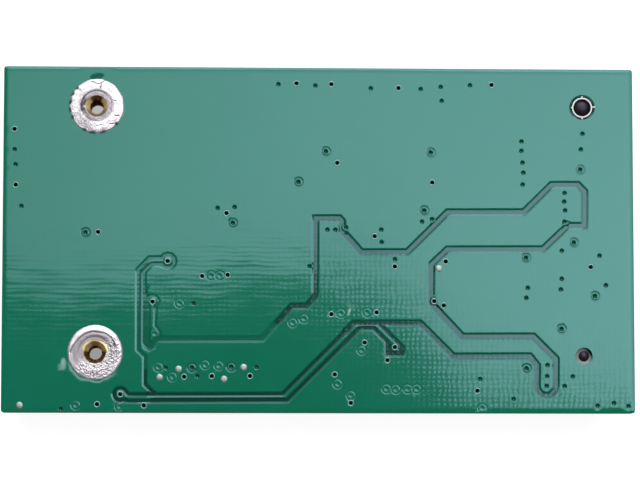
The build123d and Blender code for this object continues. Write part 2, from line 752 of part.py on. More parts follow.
os.makedirs("parts", exist_ok=True)
for node_name, shape in assembly().items():
    export_step(shape, f"parts/{node_name}.step")
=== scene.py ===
import json
import math

import bpy
import numpy as np
from mathutils.geometry import delaunay_2d_cdt
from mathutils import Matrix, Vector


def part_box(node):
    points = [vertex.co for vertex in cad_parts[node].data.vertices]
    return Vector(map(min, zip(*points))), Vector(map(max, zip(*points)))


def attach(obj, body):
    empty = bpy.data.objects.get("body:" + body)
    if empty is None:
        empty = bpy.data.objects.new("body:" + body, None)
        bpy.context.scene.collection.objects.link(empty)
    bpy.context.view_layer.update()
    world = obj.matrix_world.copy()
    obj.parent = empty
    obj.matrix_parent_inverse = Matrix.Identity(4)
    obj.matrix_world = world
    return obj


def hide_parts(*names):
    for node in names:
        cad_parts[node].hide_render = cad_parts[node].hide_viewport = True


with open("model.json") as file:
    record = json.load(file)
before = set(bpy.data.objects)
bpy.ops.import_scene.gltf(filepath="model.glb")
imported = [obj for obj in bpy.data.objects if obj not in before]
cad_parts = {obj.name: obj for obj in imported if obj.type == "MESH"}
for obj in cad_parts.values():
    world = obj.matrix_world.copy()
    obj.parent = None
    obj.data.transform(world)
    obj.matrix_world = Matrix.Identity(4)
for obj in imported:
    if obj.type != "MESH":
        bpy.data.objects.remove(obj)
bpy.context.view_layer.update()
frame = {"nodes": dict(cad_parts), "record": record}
nodes = frame["nodes"]
mm = 0.001

print("stage: frame loaded")

# the board's box in millimetres: the solder side is its top face
boardLow, boardHigh = (np.array(corner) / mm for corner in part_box("circuit_board"))
boardSize = boardHigh - boardLow
boardMiddle = (boardLow + boardHigh) / 2
backZ = boardHigh[2]
frontZ = boardLow[2]

# corners of the solder side as pixels of the 640 by 480 photograph, and as shares of the board
cornerPixels = {"topLeft": (5.1, 65.2), "topRight": (631.1, 68.7),
                "bottomLeft": (2.1, 411.4), "bottomRight": (636.7, 414.7)}
cornerShares = {"bottomLeft": (0, 0), "bottomRight": (1, 0), "topRight": (1, 1), "topLeft": (0, 1)}


def viewTerms():
    # the perspective view that takes shares of the board to pixels, from its four corners
    rows, ends = [], []
    for key, (u, v) in cornerShares.items():
        x, y = cornerPixels[key]
        rows += [[u, v, 1, 0, 0, 0, -u * x, -v * x], [0, 0, 0, u, v, 1, -u * y, -v * y]]
        ends += [x, y]
    return np.linalg.solve(np.array(rows, float), np.array(ends))


def onBoard(pixels):
    # shares of the board that the view takes to each pixel, as x and y in millimetres
    a, b, c, d, e, f, g, h = viewTerms()
    x, y = np.asarray(pixels, float).reshape(-1, 2).T
    spread = (a - g * x) * (e - h * y) - (b - h * x) * (d - g * y)
    u = ((x - c) * (e - h * y) - (b - h * x) * (y - f)) / spread
    v = ((a - g * x) * (y - f) - (x - c) * (d - g * y)) / spread
    return boardLow[:2] + np.stack([u, v], 1) * boardSize[:2]


def arcPixels(centre, radius, start, end, count):
    # points on a circle in the photograph, angles in degrees from +x towards +y (down)
    turn = np.radians(np.linspace(start, end, count))
    return [(centre[0] + radius * math.cos(t), centre[1] + radius * math.sin(t)) for t in turn]


def latticeValue(i, j, seed):
    # the fraction of a large sine gives every lattice point a fixed value from 0 to 1
    v = np.sin(i * 127.1 + j * 311.7 + seed * 74.7) * 43758.5453
    return v - np.floor(v)


def smoothNoise(x, y, seed, scale, shift=0.0):
    # lattice values blended by a smooth step in x and in y, from 0 to 1
    x, y = x * scale + shift, y * scale + shift
    i, j = np.floor(x), np.floor(y)
    u, v = x - i, y - j
    u, v = u * u * (3 - 2 * u), v * v * (3 - 2 * v)
    low = latticeValue(i, j, seed) * (1 - u) + latticeValue(i + 1, j, seed) * u
    high = latticeValue(i, j + 1, seed) * (1 - u) + latticeValue(i + 1, j + 1, seed) * u
    return low * (1 - v) + high * v


def smoothStep(low, high, value):
    # 0 below low, 1 above high, with an S curve between
    t = np.clip((value - low) / (high - low), 0, 1)
    return t * t * (3 - 2 * t)


def total(arrays):
    return sum(len(a) for a in arrays)


def newPiece(name, points, faces, material, replaces=None, values=None, smooth=True):
    # points in millimetres; values are named numbers per point for the material
    mesh = bpy.data.meshes.new(name)
    mesh.from_pydata((np.asarray(points, float) * mm).tolist(), [], [list(f) for f in faces])
    mesh.polygons.foreach_set("use_smooth", [smooth] * len(mesh.polygons))
    for key, array in (values or {}).items():
        mesh.attributes.new(key, "FLOAT", "POINT").data.foreach_set("value", np.asarray(array, np.float32))
    mesh.update()
    piece = bpy.data.objects.new(name, mesh)
    bpy.context.scene.collection.objects.link(piece)
    mesh.materials.append(material)
    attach(piece, "board")
    if replaces:
        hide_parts(*replaces)


def gridFaces(rows, columns, closed=True, flip=False, start=0):
    # quads between neighbours on a grid of rows by columns, each row joined end to start where closed
    i, j = np.meshgrid(np.arange(rows - 1), np.arange(columns - (not closed)), indexing="ij")
    after = (j + 1) % columns
    corners = [i * columns + j, (i + 1) * columns + j, (i + 1) * columns + after, i * columns + after]
    quads = np.stack(corners[::-1] if flip else corners, -1).reshape(-1, 4)
    return (quads + start).tolist()


# node helpers for the materials


def newMaterial(name):
    material = bpy.data.materials.new(name)
    material.use_nodes = True
    tree = material.node_tree
    tree.nodes.clear()
    out = tree.nodes.new("ShaderNodeOutputMaterial")
    shader = tree.nodes.new("ShaderNodeBsdfPrincipled")
    tree.links.new(shader.outputs["BSDF"], out.inputs["Surface"])
    return material, tree, shader


def setOrLink(tree, value, socket):
    if isinstance(value, bpy.types.NodeSocket):
        tree.links.new(value, socket)
    else:
        socket.default_value = value


def addNode(tree, kind, settings=None, **inputs):
    # a node with its settings; inputs go by name, or by number as i0, i1 and so on
    node = tree.nodes.new(kind)
    for key, value in (settings or {}).items():
        setattr(node, key, value)
    for key, value in inputs.items():
        setOrLink(tree, value, node.inputs[int(key[1:]) if key[1:].isdigit() else key])
    return node


def maths(tree, operation, a, b=0.0, c=0.0):
    return addNode(tree, "ShaderNodeMath", {"operation": operation}, i0=a, i1=b, i2=c).outputs[0]


def times(tree, a, b):
    return maths(tree, "MULTIPLY", a, b)


def plus(tree, a, b):
    return maths(tree, "ADD", a, b)


def attribute(tree, name):
    return addNode(tree, "ShaderNodeAttribute", {"attribute_name": name}).outputs["Fac"]


def mixColour(tree, share, a, b):
    node = addNode(tree, "ShaderNodeMix", {"data_type": "RGBA"}, i0=share)
    for value, socket in ((a, node.inputs[6]), (b, node.inputs[7])):
        setOrLink(tree, (*value, 1.0) if isinstance(value, tuple) else value, socket)
    return node.outputs[2]


def millimetres(tree):
    # object coordinates in millimetres
    place = addNode(tree, "ShaderNodeTexCoord").outputs["Object"]
    return addNode(tree, "ShaderNodeVectorMath", {"operation": "SCALE"}, i0=place, Scale=1 / mm).outputs[0]


def noise(tree, place, scale, detail=3.0, stretch=(1, 1, 1)):
    placed = addNode(tree, "ShaderNodeVectorMath", {"operation": "MULTIPLY"}, i0=place, i1=stretch).outputs[0]
    return addNode(tree, "ShaderNodeTexNoise", None, Vector=placed, Scale=scale, Detail=detail).outputs["Fac"]


def changeOver(tree, value, limits, ends):
    # a smooth change from the first end to the second as the value goes from the first limit to the second
    return addNode(tree, "ShaderNodeMapRange", {"interpolation_type": "SMOOTHSTEP"}, i0=value,
                   i1=limits[0], i2=limits[1], i3=ends[0], i4=ends[1]).outputs[0]


def unevenRoughness(tree, place, scale, middle, spread, detail=3.0):
    return maths(tree, "MULTIPLY_ADD", noise(tree, place, scale, detail), spread, middle - spread / 2)


def unevenSlope(tree, place, scale, lean):
    # a small slope either way
    return times(tree, maths(tree, "SUBTRACT", noise(tree, place, scale), 0.5), lean)


def leanNormal(tree, leanX, leanY):
    # the surface normal leant by small slopes along x and y
    normal = addNode(tree, "ShaderNodeNewGeometry").outputs["Normal"]
    lean = addNode(tree, "ShaderNodeCombineXYZ", None, X=leanX, Y=leanY).outputs[0]
    leant = addNode(tree, "ShaderNodeVectorMath", {"operation": "ADD"}, i0=normal, i1=lean).outputs[0]
    return addNode(tree, "ShaderNodeVectorMath", {"operation": "NORMALIZE"}, i0=leant).outputs[0]


# how much finer than the patches of colour the other patterns are
mottleRatios = {"roughness": 2.3, "slopeX": 3, "slopeY": 3.7}
grimeRatios = {"roughness": 1.7, "slopeX": 2.1, "slopeY": 2.9}
grimeAndShadeRoughness = 0.15


def mottled(name, dark, light, scale, roughness, metallic=0.0, lean=0.0, level=0.5, spread=0.1,
            tint=(1, 1, 1)):
    # two shades mixed by noise, with a little change of roughness and of surface slope
    material, tree, shader = newMaterial(name)
    place = millimetres(tree)
    tree.links.new(mixColour(tree, noise(tree, place, scale), dark, light), shader.inputs["Base Color"])
    rough = unevenRoughness(tree, place, scale * mottleRatios["roughness"], roughness, spread)
    tree.links.new(rough, shader.inputs["Roughness"])
    shader.inputs["Metallic"].default_value = metallic
    shader.inputs["Specular IOR Level"].default_value = level
    shader.inputs["Specular Tint"].default_value = (*tint, 1.0)
    if lean:
        slopes = (unevenSlope(tree, place, scale * mottleRatios[way], lean) for way in ("slopeX", "slopeY"))
        tree.links.new(leanNormal(tree, *slopes), shader.inputs["Normal"])
    return material


def grimeShadeAndGlintMetal(name, clean, grime, tin, scale, roughness, spread, lean, metallic):
    # bright metal with noise in its roughness and slope; where its points say so it is darkened by grime and
    # by painted shade, tinned, and made diffuse and pale as a painted highlight
    material, tree, shader = newMaterial(name)
    place = millimetres(tree)
    # share of the dark colour: real grime, and painted shade in the standoffs' countersinks and the solder's
    # creases
    share = attribute(tree, "grime")
    patches = times(tree, plus(tree, noise(tree, place, scale, 5.0), 0.5), share)
    colour = mixColour(tree, attribute(tree, "tinned"), mixColour(tree, patches, clean, grime), tin)
    tree.links.new(colour, shader.inputs["Base Color"])
    shader.inputs["Metallic"].default_value = metallic
    if metallic < 1:
        # painted highlight: where marked, the metal turns diffuse, so its pale colour shows bright under any
        # lamp
        worn = maths(tree, "MULTIPLY_ADD", attribute(tree, "worn"), -metallic, metallic)
        tree.links.new(worn, shader.inputs["Metallic"])
    rough = unevenRoughness(tree, place, scale * grimeRatios["roughness"], roughness, spread, 4.0)
    rough = plus(tree, rough, times(tree, share, grimeAndShadeRoughness))
    tree.links.new(rough, shader.inputs["Roughness"])
    slopes = (unevenSlope(tree, place, scale * grimeRatios[way], lean) for way in ("slopeX", "slopeY"))
    tree.links.new(leanNormal(tree, *slopes), shader.inputs["Normal"])
    return material


maskLook = {
    # colours over copper, without copper, where scraped, of flux, of laminate and of the sawn edge
    "overCopper": (0.0022, 0.152, 0.080), "overCopperPale": (0.0042, 0.168, 0.094),
    "bare": (0.0012, 0.045, 0.024), "scraped": (0.0010, 0.095, 0.055), "pale": (0.34, 0.52, 0.44),
    "laminate": (0.010, 0.007, 0.012), "edgeDark": (0.10, 0.12, 0.045), "edgeLight": (0.24, 0.25, 0.11),
    "cloudScale": 0.25, "layerScale": 1.2, "layerStretch": (1.0, 1.0, 6.0),
    "tint": (0.52, 0.84, 1.0), "index": 1.6,
    # woven glass: pitch of its threads, how they wander and fade, and the slopes that they give
    "pitchX": 0.50, "pitchY": 0.46, "wanderScaleX": 0.7, "wanderX": 9.0, "wanderScaleY": 0.4, "wanderY": 6.0,
    "regionScale": 0.16, "patchScale": 0.9, "patchGain": 1.6, "streakScale": 1.0,
    "streakStretch": (0.22, 2.0, 1.0), "threads": 0.8, "slopeX": 0.005, "slopeY": 0.0085,
    # what differs between the left and the right of the board, and where it changes over
    "changeX": (-8.0, 10.0), "crossing": (0.4, 0.9), "streaks": (2.8, 1.8), "uprights": (0.0, 0.62),
    "roughness": (0.052, 0.08), "roughnessScale": 0.8, "roughnessSpread": 0.03, "mattRise": 0.8,
    # bow: its slope, the part of it that is left far from the middle, and its reach to each side
    "bow": 0.0193, "bowRest": 0.535, "bowMiddle": 0.6, "bowLeft": 18.6, "bowRight": 11.0}


def bowSlope(tree, x):
    # a bell about the middle, plain to the left and flat-topped to the right, taken from the slope at rest
    past = maths(tree, "SUBTRACT", x, maskLook["bowMiddle"])
    right = maths(tree, "DIVIDE", maths(tree, "MAXIMUM", past, 0.0), maskLook["bowRight"])
    left = maths(tree, "DIVIDE", past, -maskLook["bowLeft"])
    away = maths(tree, "MAXIMUM", times(tree, right, right), left)
    bell = maths(tree, "EXPONENT", times(tree, times(tree, away, away), -1.0))
    return times(tree, maths(tree, "SUBTRACT", maskLook["bowRest"], bell), maskLook["bow"])


def threadPhase(tree, place, along, way):
    # turns of the weave along one way, with noise that makes its threads wander
    wander = times(tree, noise(tree, place, maskLook["wanderScale" + way], 2.0), maskLook["wander" + way])
    return plus(tree, times(tree, along, 2 * math.pi / maskLook["pitch" + way]), wander)


def maskMaterial():
    # green mask: darker where no copper lies under it, leant by the board's bow and its woven glass
    look = maskLook
    material, tree, shader = newMaterial("solder_mask_green")
    place = millimetres(tree)
    marked = {name: attribute(tree, name) for name in ("bare", "scraped", "pale", "laminate", "edge")}
    clouds = noise(tree, place, look["cloudScale"], 4.0)
    colour = mixColour(tree, clouds, look["overCopper"], look["overCopperPale"])
    for name in ("bare", "scraped", "pale", "laminate"):
        colour = mixColour(tree, marked[name], colour, look[name])
    layers = noise(tree, place, look["layerScale"], 4.0, look["layerStretch"])
    sawn = mixColour(tree, layers, look["edgeDark"], look["edgeLight"])
    tree.links.new(mixColour(tree, marked["edge"], colour, sawn), shader.inputs["Base Color"])
    # the weave shows as long streaks on the left and as crossing threads on the right
    x, y = addNode(tree, "ShaderNodeSeparateXYZ", None, Vector=place).outputs[:2]
    share = {key: changeOver(tree, x, look["changeX"], look[key])
             for key in ("crossing", "streaks", "uprights", "roughness")}
    regions = noise(tree, place, look["regionScale"], 2.0)
    acrossX = maths(tree, "SINE", threadPhase(tree, place, x, "X"))
    waveY = times(tree, maths(tree, "SINE", threadPhase(tree, place, y, "Y")), regions)
    patches = times(tree, noise(tree, place, look["patchScale"]), look["patchGain"])
    upright = times(tree, acrossX, patches)
    streak = noise(tree, place, look["streakScale"], 4.0, look["streakStretch"])
    slopes = times(tree, waveY, look["threads"])
    slopes = plus(tree, slopes, times(tree, times(tree, waveY, upright), share["crossing"]))
    slopes = plus(tree, slopes, times(tree, upright, share["uprights"]))
    slopes = plus(tree, slopes, times(tree, maths(tree, "SUBTRACT", streak, 0.5), share["streaks"]))
    leanY = plus(tree, times(tree, slopes, look["slopeY"]), bowSlope(tree, x))
    leanX = times(tree, times(tree, acrossX, regions), look["slopeX"])
    tree.links.new(leanNormal(tree, leanX, leanY), shader.inputs["Normal"])
    rough = times(tree, noise(tree, place, look["roughnessScale"]), look["roughnessSpread"])
    matt = marked["scraped"]
    for name in ("pale", "laminate", "edge"):
        matt = maths(tree, "MAXIMUM", matt, marked[name])
    rough = plus(tree, plus(tree, rough, share["roughness"]), times(tree, matt, look["mattRise"]))
    tree.links.new(rough, shader.inputs["Roughness"])
    shader.inputs["IOR"].default_value = look["index"]
    shader.inputs["Specular Tint"].default_value = (*look["tint"], 1.0)
    return material


materials = {
    "solder_mask": maskMaterial(),
    "standoff_brass": grimeShadeAndGlintMetal("turned_brass", (0.95, 0.72, 0.33), (0.12, 0.058, 0.022),
                                 (0.30, 0.26, 0.24), 3.0, 0.34, 0.2, 0.12, 0.85),
    "solder": grimeShadeAndGlintMetal("frosted_solder", (0.86, 0.82, 0.86), (0.11, 0.095, 0.11), (0.33, 0.30, 0.33), 4.0,
                         0.56, 0.3, 0.5, 1.0),
    "tin": mottled("plain_solder", (0.29, 0.36, 0.33), (0.46, 0.56, 0.52), 3.0, 0.55, 1.0, 0.15,
                   spread=0.1),
    "via_rim": mottled("via_rim_tin", (0.19, 0.37, 0.33), (0.31, 0.57, 0.52), 3.0, 0.55, 1.0, 0.15,
                       spread=0.1),
    "socket_moulding": mottled("black_moulding", (0.008, 0.005, 0.009), (0.016, 0.011, 0.017), 2.0, 0.36,
                               lean=0.14, level=0.35, tint=(0.92, 0.76, 1.0)),
    "peg_collar": mottled("pale_laminate", (0.07, 0.10, 0.10), (0.34, 0.41, 0.41), 7.0, 0.55, lean=0.4),
    "plated_contact": mottled("gold_plate", (0.62, 0.42, 0.14), (0.83, 0.63, 0.27), 4.0, 0.22, 1.0, 0.05),
    "tinned_metal": mottled("tin_plate", (0.52, 0.53, 0.54), (0.72, 0.73, 0.74), 4.0, 0.40, 1.0, 0.10,
                            spread=0.2),
    "ribbon_moulding": mottled("cream_moulding", (0.62, 0.55, 0.41), (0.72, 0.65, 0.52), 1.5, 0.50,
                               lean=0.04),
    "slider_moulding": mottled("brown_moulding", (0.010, 0.007, 0.005), (0.020, 0.014, 0.010), 1.5, 0.45,
                               lean=0.04),
    "chip_moulding": mottled("chip_epoxy", (0.008, 0.008, 0.009), (0.018, 0.018, 0.019), 6.0, 0.55,
                             lean=0.10),
    "crystal_ceramic": mottled("dark_ceramic", (0.06, 0.045, 0.035), (0.09, 0.07, 0.055), 3.0, 0.55,
                               lean=0.05),
    "crystal_metal": mottled("crystal_lid_metal", (0.55, 0.53, 0.48), (0.70, 0.68, 0.63), 2.0, 0.28, 1.0,
                             0.04),
    "bulk_moulding": mottled("amber_moulding", (0.52, 0.24, 0.015), (0.64, 0.32, 0.03), 2.0, 0.45,
                             lean=0.05),
    "lamp_substrate": mottled("white_laminate", (0.66, 0.66, 0.60), (0.78, 0.78, 0.72), 3.0, 0.45,
                              lean=0.04),
    "lamp_resin": mottled("clear_resin", (0.58, 0.62, 0.42), (0.70, 0.74, 0.55), 3.0, 0.15, lean=0.03),
    "capacitor_ceramic": mottled("tan_ceramic", (0.25, 0.16, 0.085), (0.34, 0.23, 0.13), 4.0, 0.45,
                                 lean=0.06),
    "resistor_coat": mottled("black_glaze", (0.006, 0.006, 0.007), (0.016, 0.016, 0.018), 4.0, 0.25,
                             lean=0.04),
    "bead_ferrite": mottled("grey_ferrite", (0.018, 0.018, 0.020), (0.035, 0.035, 0.038), 4.0, 0.50,
                            lean=0.06),
    "legend": mottled("white_legend", (0.80, 0.80, 0.80), (0.92, 0.92, 0.92), 8.0, 0.5, lean=0.05),
}

print("stage: materials")

# solder side: what the copper layer leaves in relief

gapSizes = {"wide": {"floor": 0.19, "top": 0.38}, "narrow": {"floor": 0.13, "top": 0.30},
            "fine": {"floor": 0.09, "top": 0.22}, "depth": 0.05, "guard": 0.025, "step": 0.45, "brink": 0.004}
traceEnd = arcPixels((168.0, 260.3), 6.6, -152, 152, 11)
senseEnd = arcPixels((120.9, 394.0), 6.4, -25, -300, 11)
# each gap: width, how dark its floor is, and its middle line as pixels
gapLines = [
    ("wide", 0.35, [(151.8, 344.0), (158.0, 338.3), (262.0, 338.3), (277.0, 321.6)]),
    ("wide", 1.0, [(277.0, 321.6), (291.5, 305.5), (306.5, 305.5), (315.2, 295.5), (315.2, 217.3),
                   (339.0, 217.3), (341.5, 220.0), (341.5, 229.5), (361.0, 251.5), (407.0, 251.5),
                   (447.0, 211.5), (523.5, 211.5), (551.0, 184.0), (577.5, 184.0), (584.5, 191.0),
                   (584.5, 225.3), (567.5, 225.3), (543.0, 248.8), (447.0, 248.8), (431.2, 264.0),
                   (431.2, 303.0), (462.6, 336.6), (534.0, 336.6), (556.8, 359.4), (556.8, 387.0),
                   *arcPixels((547.4, 387.0), 9.4, 0, 180, 9)[1:], (538.0, 366.0), (530.4, 356.6),
                   (453.6, 356.6), (420.0, 323.0), (353.5, 322.8), (345.5, 330.8)]),
    ("narrow", 1.0, [(345.5, 330.8), (282.5, 394.0), (155.6, 394.0), (145.5, 384.0), (145.5, 370.0)]),
    ("narrow", 0.45, [(145.5, 370.0), (145.5, 356.0), (138.4, 348.9), (138.4, 269.0), (149.6, 257.4),
                      *traceEnd, (151.5, 263.4), (144.1, 270.8), (144.1, 290.0)]),
    ("wide", 0.45, [(144.9, 290.0), (144.9, 342.0), (149.4, 346.6), (153.0, 342.9)]),
    ("narrow", 1.0, [(155.6, 394.0), (129.0, 393.8), *senseEnd, (128.5, 400.4), (287.0, 400.4),
                     (359.2, 328.2), (373.4, 328.2), (387.0, 341.8), (387.0, 354.3), (402.5, 354.3),
                     (402.5, 347.3), (378.0, 322.8)]),
    ("narrow", 1.0, [(390.3, 345.5), (390.3, 351.2), (399.8, 351.2), (399.8, 346.5)]),
    ("narrow", 0.45, [(148.6, 343.0), (148.6, 300.0), (149.5, 297.0)]),
    ("fine", 0.45, [*arcPixels((152.7, 301.0), 6.2, 200, 350, 6), (156.2, 305.0), (155.6, 325.0),
                    (160.4, 331.5), (159.5, 338.3)]),
]

# vias by kind, as pixels: open ones are dark pits, moated ones also cut off from the copper round them,
# ringed ones are holes with a tin rim, tented ones are closed by the mask and filled ones by solder
viaPixels = {
    "open": [(15.4, 148.5), (16.4, 163.4), (22.2, 205.1), (277.3, 83.4), (314.1, 84.8), (369.5, 87.5),
             (419.4, 88.2), (439.4, 86.1), (440.5, 100.0), (468.7, 84.5), (217.3, 207.3), (234.1, 206.4),
             (520.6, 140.8), (520.5, 150.2), (521.7, 162.1), (522.6, 172.2), (522.0, 184.1), (581.8, 133.1),
             (580.2, 148.8), (564.1, 192.6), (563.8, 201.3), (564.7, 210.1), (564.2, 221.5), (193.6, 302.9),
             (326.8, 229.2), (334.8, 229.3), (345.4, 227.0), (380.6, 229.3), (381.1, 241.8), (309.2, 265.9),
             (394.5, 258.9), (421.4, 221.3), (431.4, 218.8), (561.7, 250.7), (599.7, 255.8), (561.9, 279.0),
             (561.2, 289.7), (527.8, 288.1), (526.4, 298.2), (606.3, 285.6), (548.2, 366.0), (547.8, 377.2),
             (547.4, 387.0), (480.5, 379.7), (514.3, 400.0), (573.6, 377.5), (565.5, 387.3), (598.9, 407.1),
             (615.3, 404.5), (630.0, 407.6), (166.1, 367.3), (197.7, 375.8), (256.7, 367.1), (61.7, 408.3)],
    "moated": [(325.0, 150.7), (297.7, 181.2), (429.7, 151.9), (232.4, 222.2), (579.8, 169.0),
               (85.9, 231.6), (423.6, 210.1), (573.8, 242.5), (525.8, 257.8), (595.4, 296.5),
               (562.0, 329.4), (527.1, 369.2), (192.2, 367.3), (231.4, 366.7)],
    "ringed": [(15.4, 128.0), (16.6, 183.7), (295.4, 82.4), (330.2, 83.4), (397.3, 87.3), (490.3, 84.1),
               (336.4, 162.1), (431.5, 181.9), (226.1, 212.4), (98.4, 231.1), (167.7, 260.3),
               (202.1, 275.5), (227.4, 274.4), (152.7, 301.0), (374.1, 235.8), (394.5, 266.2),
               (445.4, 261.3), (434.2, 301.2), (443.6, 305.5), (331.2, 314.0), (376.4, 312.3),
               (364.6, 342.6), (394.9, 347.3), (387.5, 360.5), (591.0, 267.2), (477.9, 391.5),
               (184.4, 376.5), (212.0, 375.9), (250.1, 375.9), (97.7, 403.8), (144.3, 405.2),
               (120.7, 393.8), (334.8, 374.6), (351.0, 403.4)],
    "tented": [(158.6, 366.6), (172.6, 376.5), (205.3, 364.5), (218.9, 365.4), (76.5, 404.5),
               (120.0, 406.0), (155.0, 333.3), (179.6, 302.8), (292.6, 322.5), (303.8, 318.4),
               (337.8, 384.2), (351.1, 395.8), (386.6, 389.1), (396.0, 389.8), (407.7, 389.4),
               (417.0, 389.4), (483.0, 409.0), (211.0, 275.0), (219.7, 275.0), (340.7, 313.2),
               (367.0, 312.5), (361.7, 350.4)],
    "filled": [(178.9, 368.6), (160.0, 376.9), (224.3, 378.9), (243.8, 367.1), (20.6, 404.5),
               (438.7, 268.3)],
}
# rings of a via's relief: radius and height, out from its hole or its middle
viaRelief = {
    "open": [(0.0, -0.15), (0.09, -0.115), (0.16, -0.055), (0.20, -0.014), (0.24, 0.003), (0.29, 0.008),
             (0.36, 0.003), (0.42, 0.0), (0.47, 0.0)],
    "moated": [(0.0, -0.17), (0.10, -0.13), (0.165, -0.06), (0.20, -0.016), (0.24, 0.004), (0.31, 0.002),
               (0.37, -0.012), (0.46, -0.012), (0.54, 0.0), (0.59, 0.0)],
    "ringed": [(0.20, -0.012), (0.26, 0.004), (0.36, 0.010), (0.43, 0.0), (0.48, 0.0)],
    "tented": [(0.0, -0.034), (0.08, -0.030), (0.16, -0.006), (0.23, 0.008), (0.30, 0.008), (0.37, 0.002),
               (0.42, -0.014), (0.47, -0.014), (0.52, 0.0), (0.57, 0.0)],
    "filled": [(0.0, 0.0), (0.25, 0.0), (0.42, 0.0)],
}
# the same on the component side, where height goes into the board
coveredVia = [(0.02, 0.035), (0.09, 0.030), (0.17, 0.004), (0.24, -0.006), (0.34, -0.006), (0.40, 0.0)]
# where a moat and a pit are bare of copper, by radius
moatBare = {"radii": (0.31, 0.38, 0.47, 0.56), "shares": (0, 0.6, 0.6, 0)}
pitBare = {"radii": (0.17, 0.23), "shares": (1, 0)}
holeRadius = viaRelief["ringed"][0][0]
padRadius = 0.36
viaPlaces = {kind: onBoard(pixels) for kind, pixels in viaPixels.items()}


def resample(points, step):
    # a line's points with more between them, none further apart than the step
    out = [points[:1]]
    for a, b in zip(points, points[1:]):
        count = max(1, math.ceil(np.linalg.norm(b - a) / step))
        out.append(a + (b - a) * (np.arange(1, count + 1) / count)[:, None])
    return np.concatenate(out)


def offsetLine(points, distance):
    # every point moved sideways along the bisector of its two runs, as far as keeps the distance
    runs = np.diff(points, axis=0)
    runs = runs / np.linalg.norm(runs, axis=1)[:, None]
    before, after = np.vstack([runs[:1], runs]), np.vstack([runs, runs[-1:]])
    bisector = before + after
    bisector = bisector / np.linalg.norm(bisector, axis=1)[:, None]
    reach = distance / np.maximum((bisector * after).sum(1), 0.5)
    return points + np.stack([-bisector[:, 1], bisector[:, 0]], 1) * reach[:, None]


def mitredDistance(p, line, endReach=0.6):
    # distance square to the nearest run; past a bend each run reaches on as far as the mitre of its sides
    runs = np.diff(line, axis=0)
    lengths = np.linalg.norm(runs, axis=1)
    ways = runs / lengths[:, None]
    bends = np.arccos(np.clip((ways[1:] * ways[:-1]).sum(1), -1, 1))
    reach = np.concatenate([[endReach], np.maximum(np.tan(bends / 2), 0.001), [endReach]])
    best = np.full(len(p), np.inf)
    for start, way, length, before, after in zip(line, ways, lengths, reach, reach[1:]):
        along, side = (p - start) @ way, np.abs((p - start) @ np.array([-way[1], way[0]]))
        best = np.minimum(best, np.max([side, -along / before, (along - length) / after], axis=0))
    return best


def distanceToLine(p, line):
    # least distance from each point to the straight runs of a line
    best = np.full(len(p), np.inf)
    for a, b in zip(line, line[1:]):
        run = b - a
        t = np.clip(((p - a) @ run) / max(run @ run, 1e-12), 0, 1)
        best = np.minimum(best, np.linalg.norm(p - (a + t[:, None] * run), axis=1))
    return best


def circle(place, radius, count):
    turn = 2 * np.pi * np.arange(count) / count
    return place + radius * np.stack([np.cos(turn), np.sin(turn)], 1)


def around(p, place):
    # distance and angle in degrees of points about a place
    q = p - place
    return np.linalg.norm(q, axis=1), np.degrees(np.arctan2(q[:, 1], q[:, 0])) % 360


gapOnBoard = [(kind, dark, onBoard(pixels)) for kind, dark, pixels in gapLines]
standoffPlaces = {name: np.mean(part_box(f"{name}_standoff"), axis=0)[:2] / mm for name in ("upper", "lower")}
pegPlaces = onBoard([(581.2, 106.8), (584.9, 356.9)])
shankRadius, shankHole = 1.5, 1.55
pegHole = 0.85
# ring without copper round the upper peg: where its slopes start and end, and its depth
pegMoat = {"radii": (1.0, 1.04, 1.19, 1.25), "shares": (0, 1, 1, 0), "depth": 0.045,
           "moreRings": (1.10, 1.14, 1.30, 1.36)}
# each hole: place, radius and number of sides
holes = [(place, holeRadius, 14) for place in viaPlaces["ringed"]]
holes += [(place, shankHole, 48) for place in standoffPlaces.values()]
holes += [(place, pegHole, 36) for place in pegPlaces]
# holes with a larger radius go on through the component side; relief of vias gives way to barer places
largeHole = 0.5
bareEnough = 0.2


def relief(p):
    # height of the mask's surface and how bare of copper it is: gaps slope down from their copper edges
    height, bare = np.zeros(len(p)), np.zeros(len(p))
    for kind, dark, line in gapOnBoard:
        distance, sizes = mitredDistance(p, line), gapSizes[kind]
        up = np.clip((distance - sizes["floor"]) / (sizes["top"] - sizes["floor"]), 0, 1)
        bare = np.maximum(bare, dark * (distance < sizes["top"] - gapSizes["brink"]))
        height = np.minimum(height, -gapSizes["depth"] * (1 - up))
    for kind, places in viaPlaces.items():
        radii, levels = np.array(viaRelief[kind]).T
        for place in places:
            r = np.linalg.norm(p - place, axis=1)
            near = (r < radii[-1]) & ((bare < bareEnough) | (r < padRadius))
            height[near] = np.interp(r[near], radii, levels)
            bare[near & (r < padRadius)] = 0
            for darker, kinds in ((moatBare, ("moated",)), (pitBare, ("open", "moated"))):
                if kind in kinds:
                    bare[near] = np.maximum(bare[near], np.interp(r[near], darker["radii"], darker["shares"]))
    ring = np.interp(np.linalg.norm(p - pegPlaces[0], axis=1), pegMoat["radii"], pegMoat["shares"])
    return np.minimum(height, -pegMoat["depth"] * ring), np.maximum(bare, ring)


# marks on the solder side, with places as pixels and sizes in millimetres; angles in degrees
upperNotches = ((138, 3), (153, 3.5), (171, 5), (188, 6), (205, 4), (243, 5), (262, 8), (284, 6), (318, 4))
markLooks = {
    "scrape": {"pixel": (97.0, 75.3), "size": (0.78, 0.34), "slant": -0.35, "edge": (0.8, 1.0)},
    "notches": {"strength": 0.85, "edge": (2.68, 2.76)},
    "flux": {"strength": 0.55, "from": (195, 215), "to": (290, 325), "radius": 2.72, "drift": 0.25,
             "width": 0.10},
    "nick": {"pixel": (349.3, 310.8), "size": (0.13, 0.42), "turn": ((0.94, 0.34), (-0.34, 0.94)),
             "edge": (0.4, 1.0)},
    "smear": {"pixel": (64.3, 363.0), "size": (0.30, 0.66), "strength": 0.8, "edge": (0.6, 1.05)},
    "pegRing": {"inner": (0.9, 0.99), "outer": (1.04, 1.13), "ragged": 0.12},
}


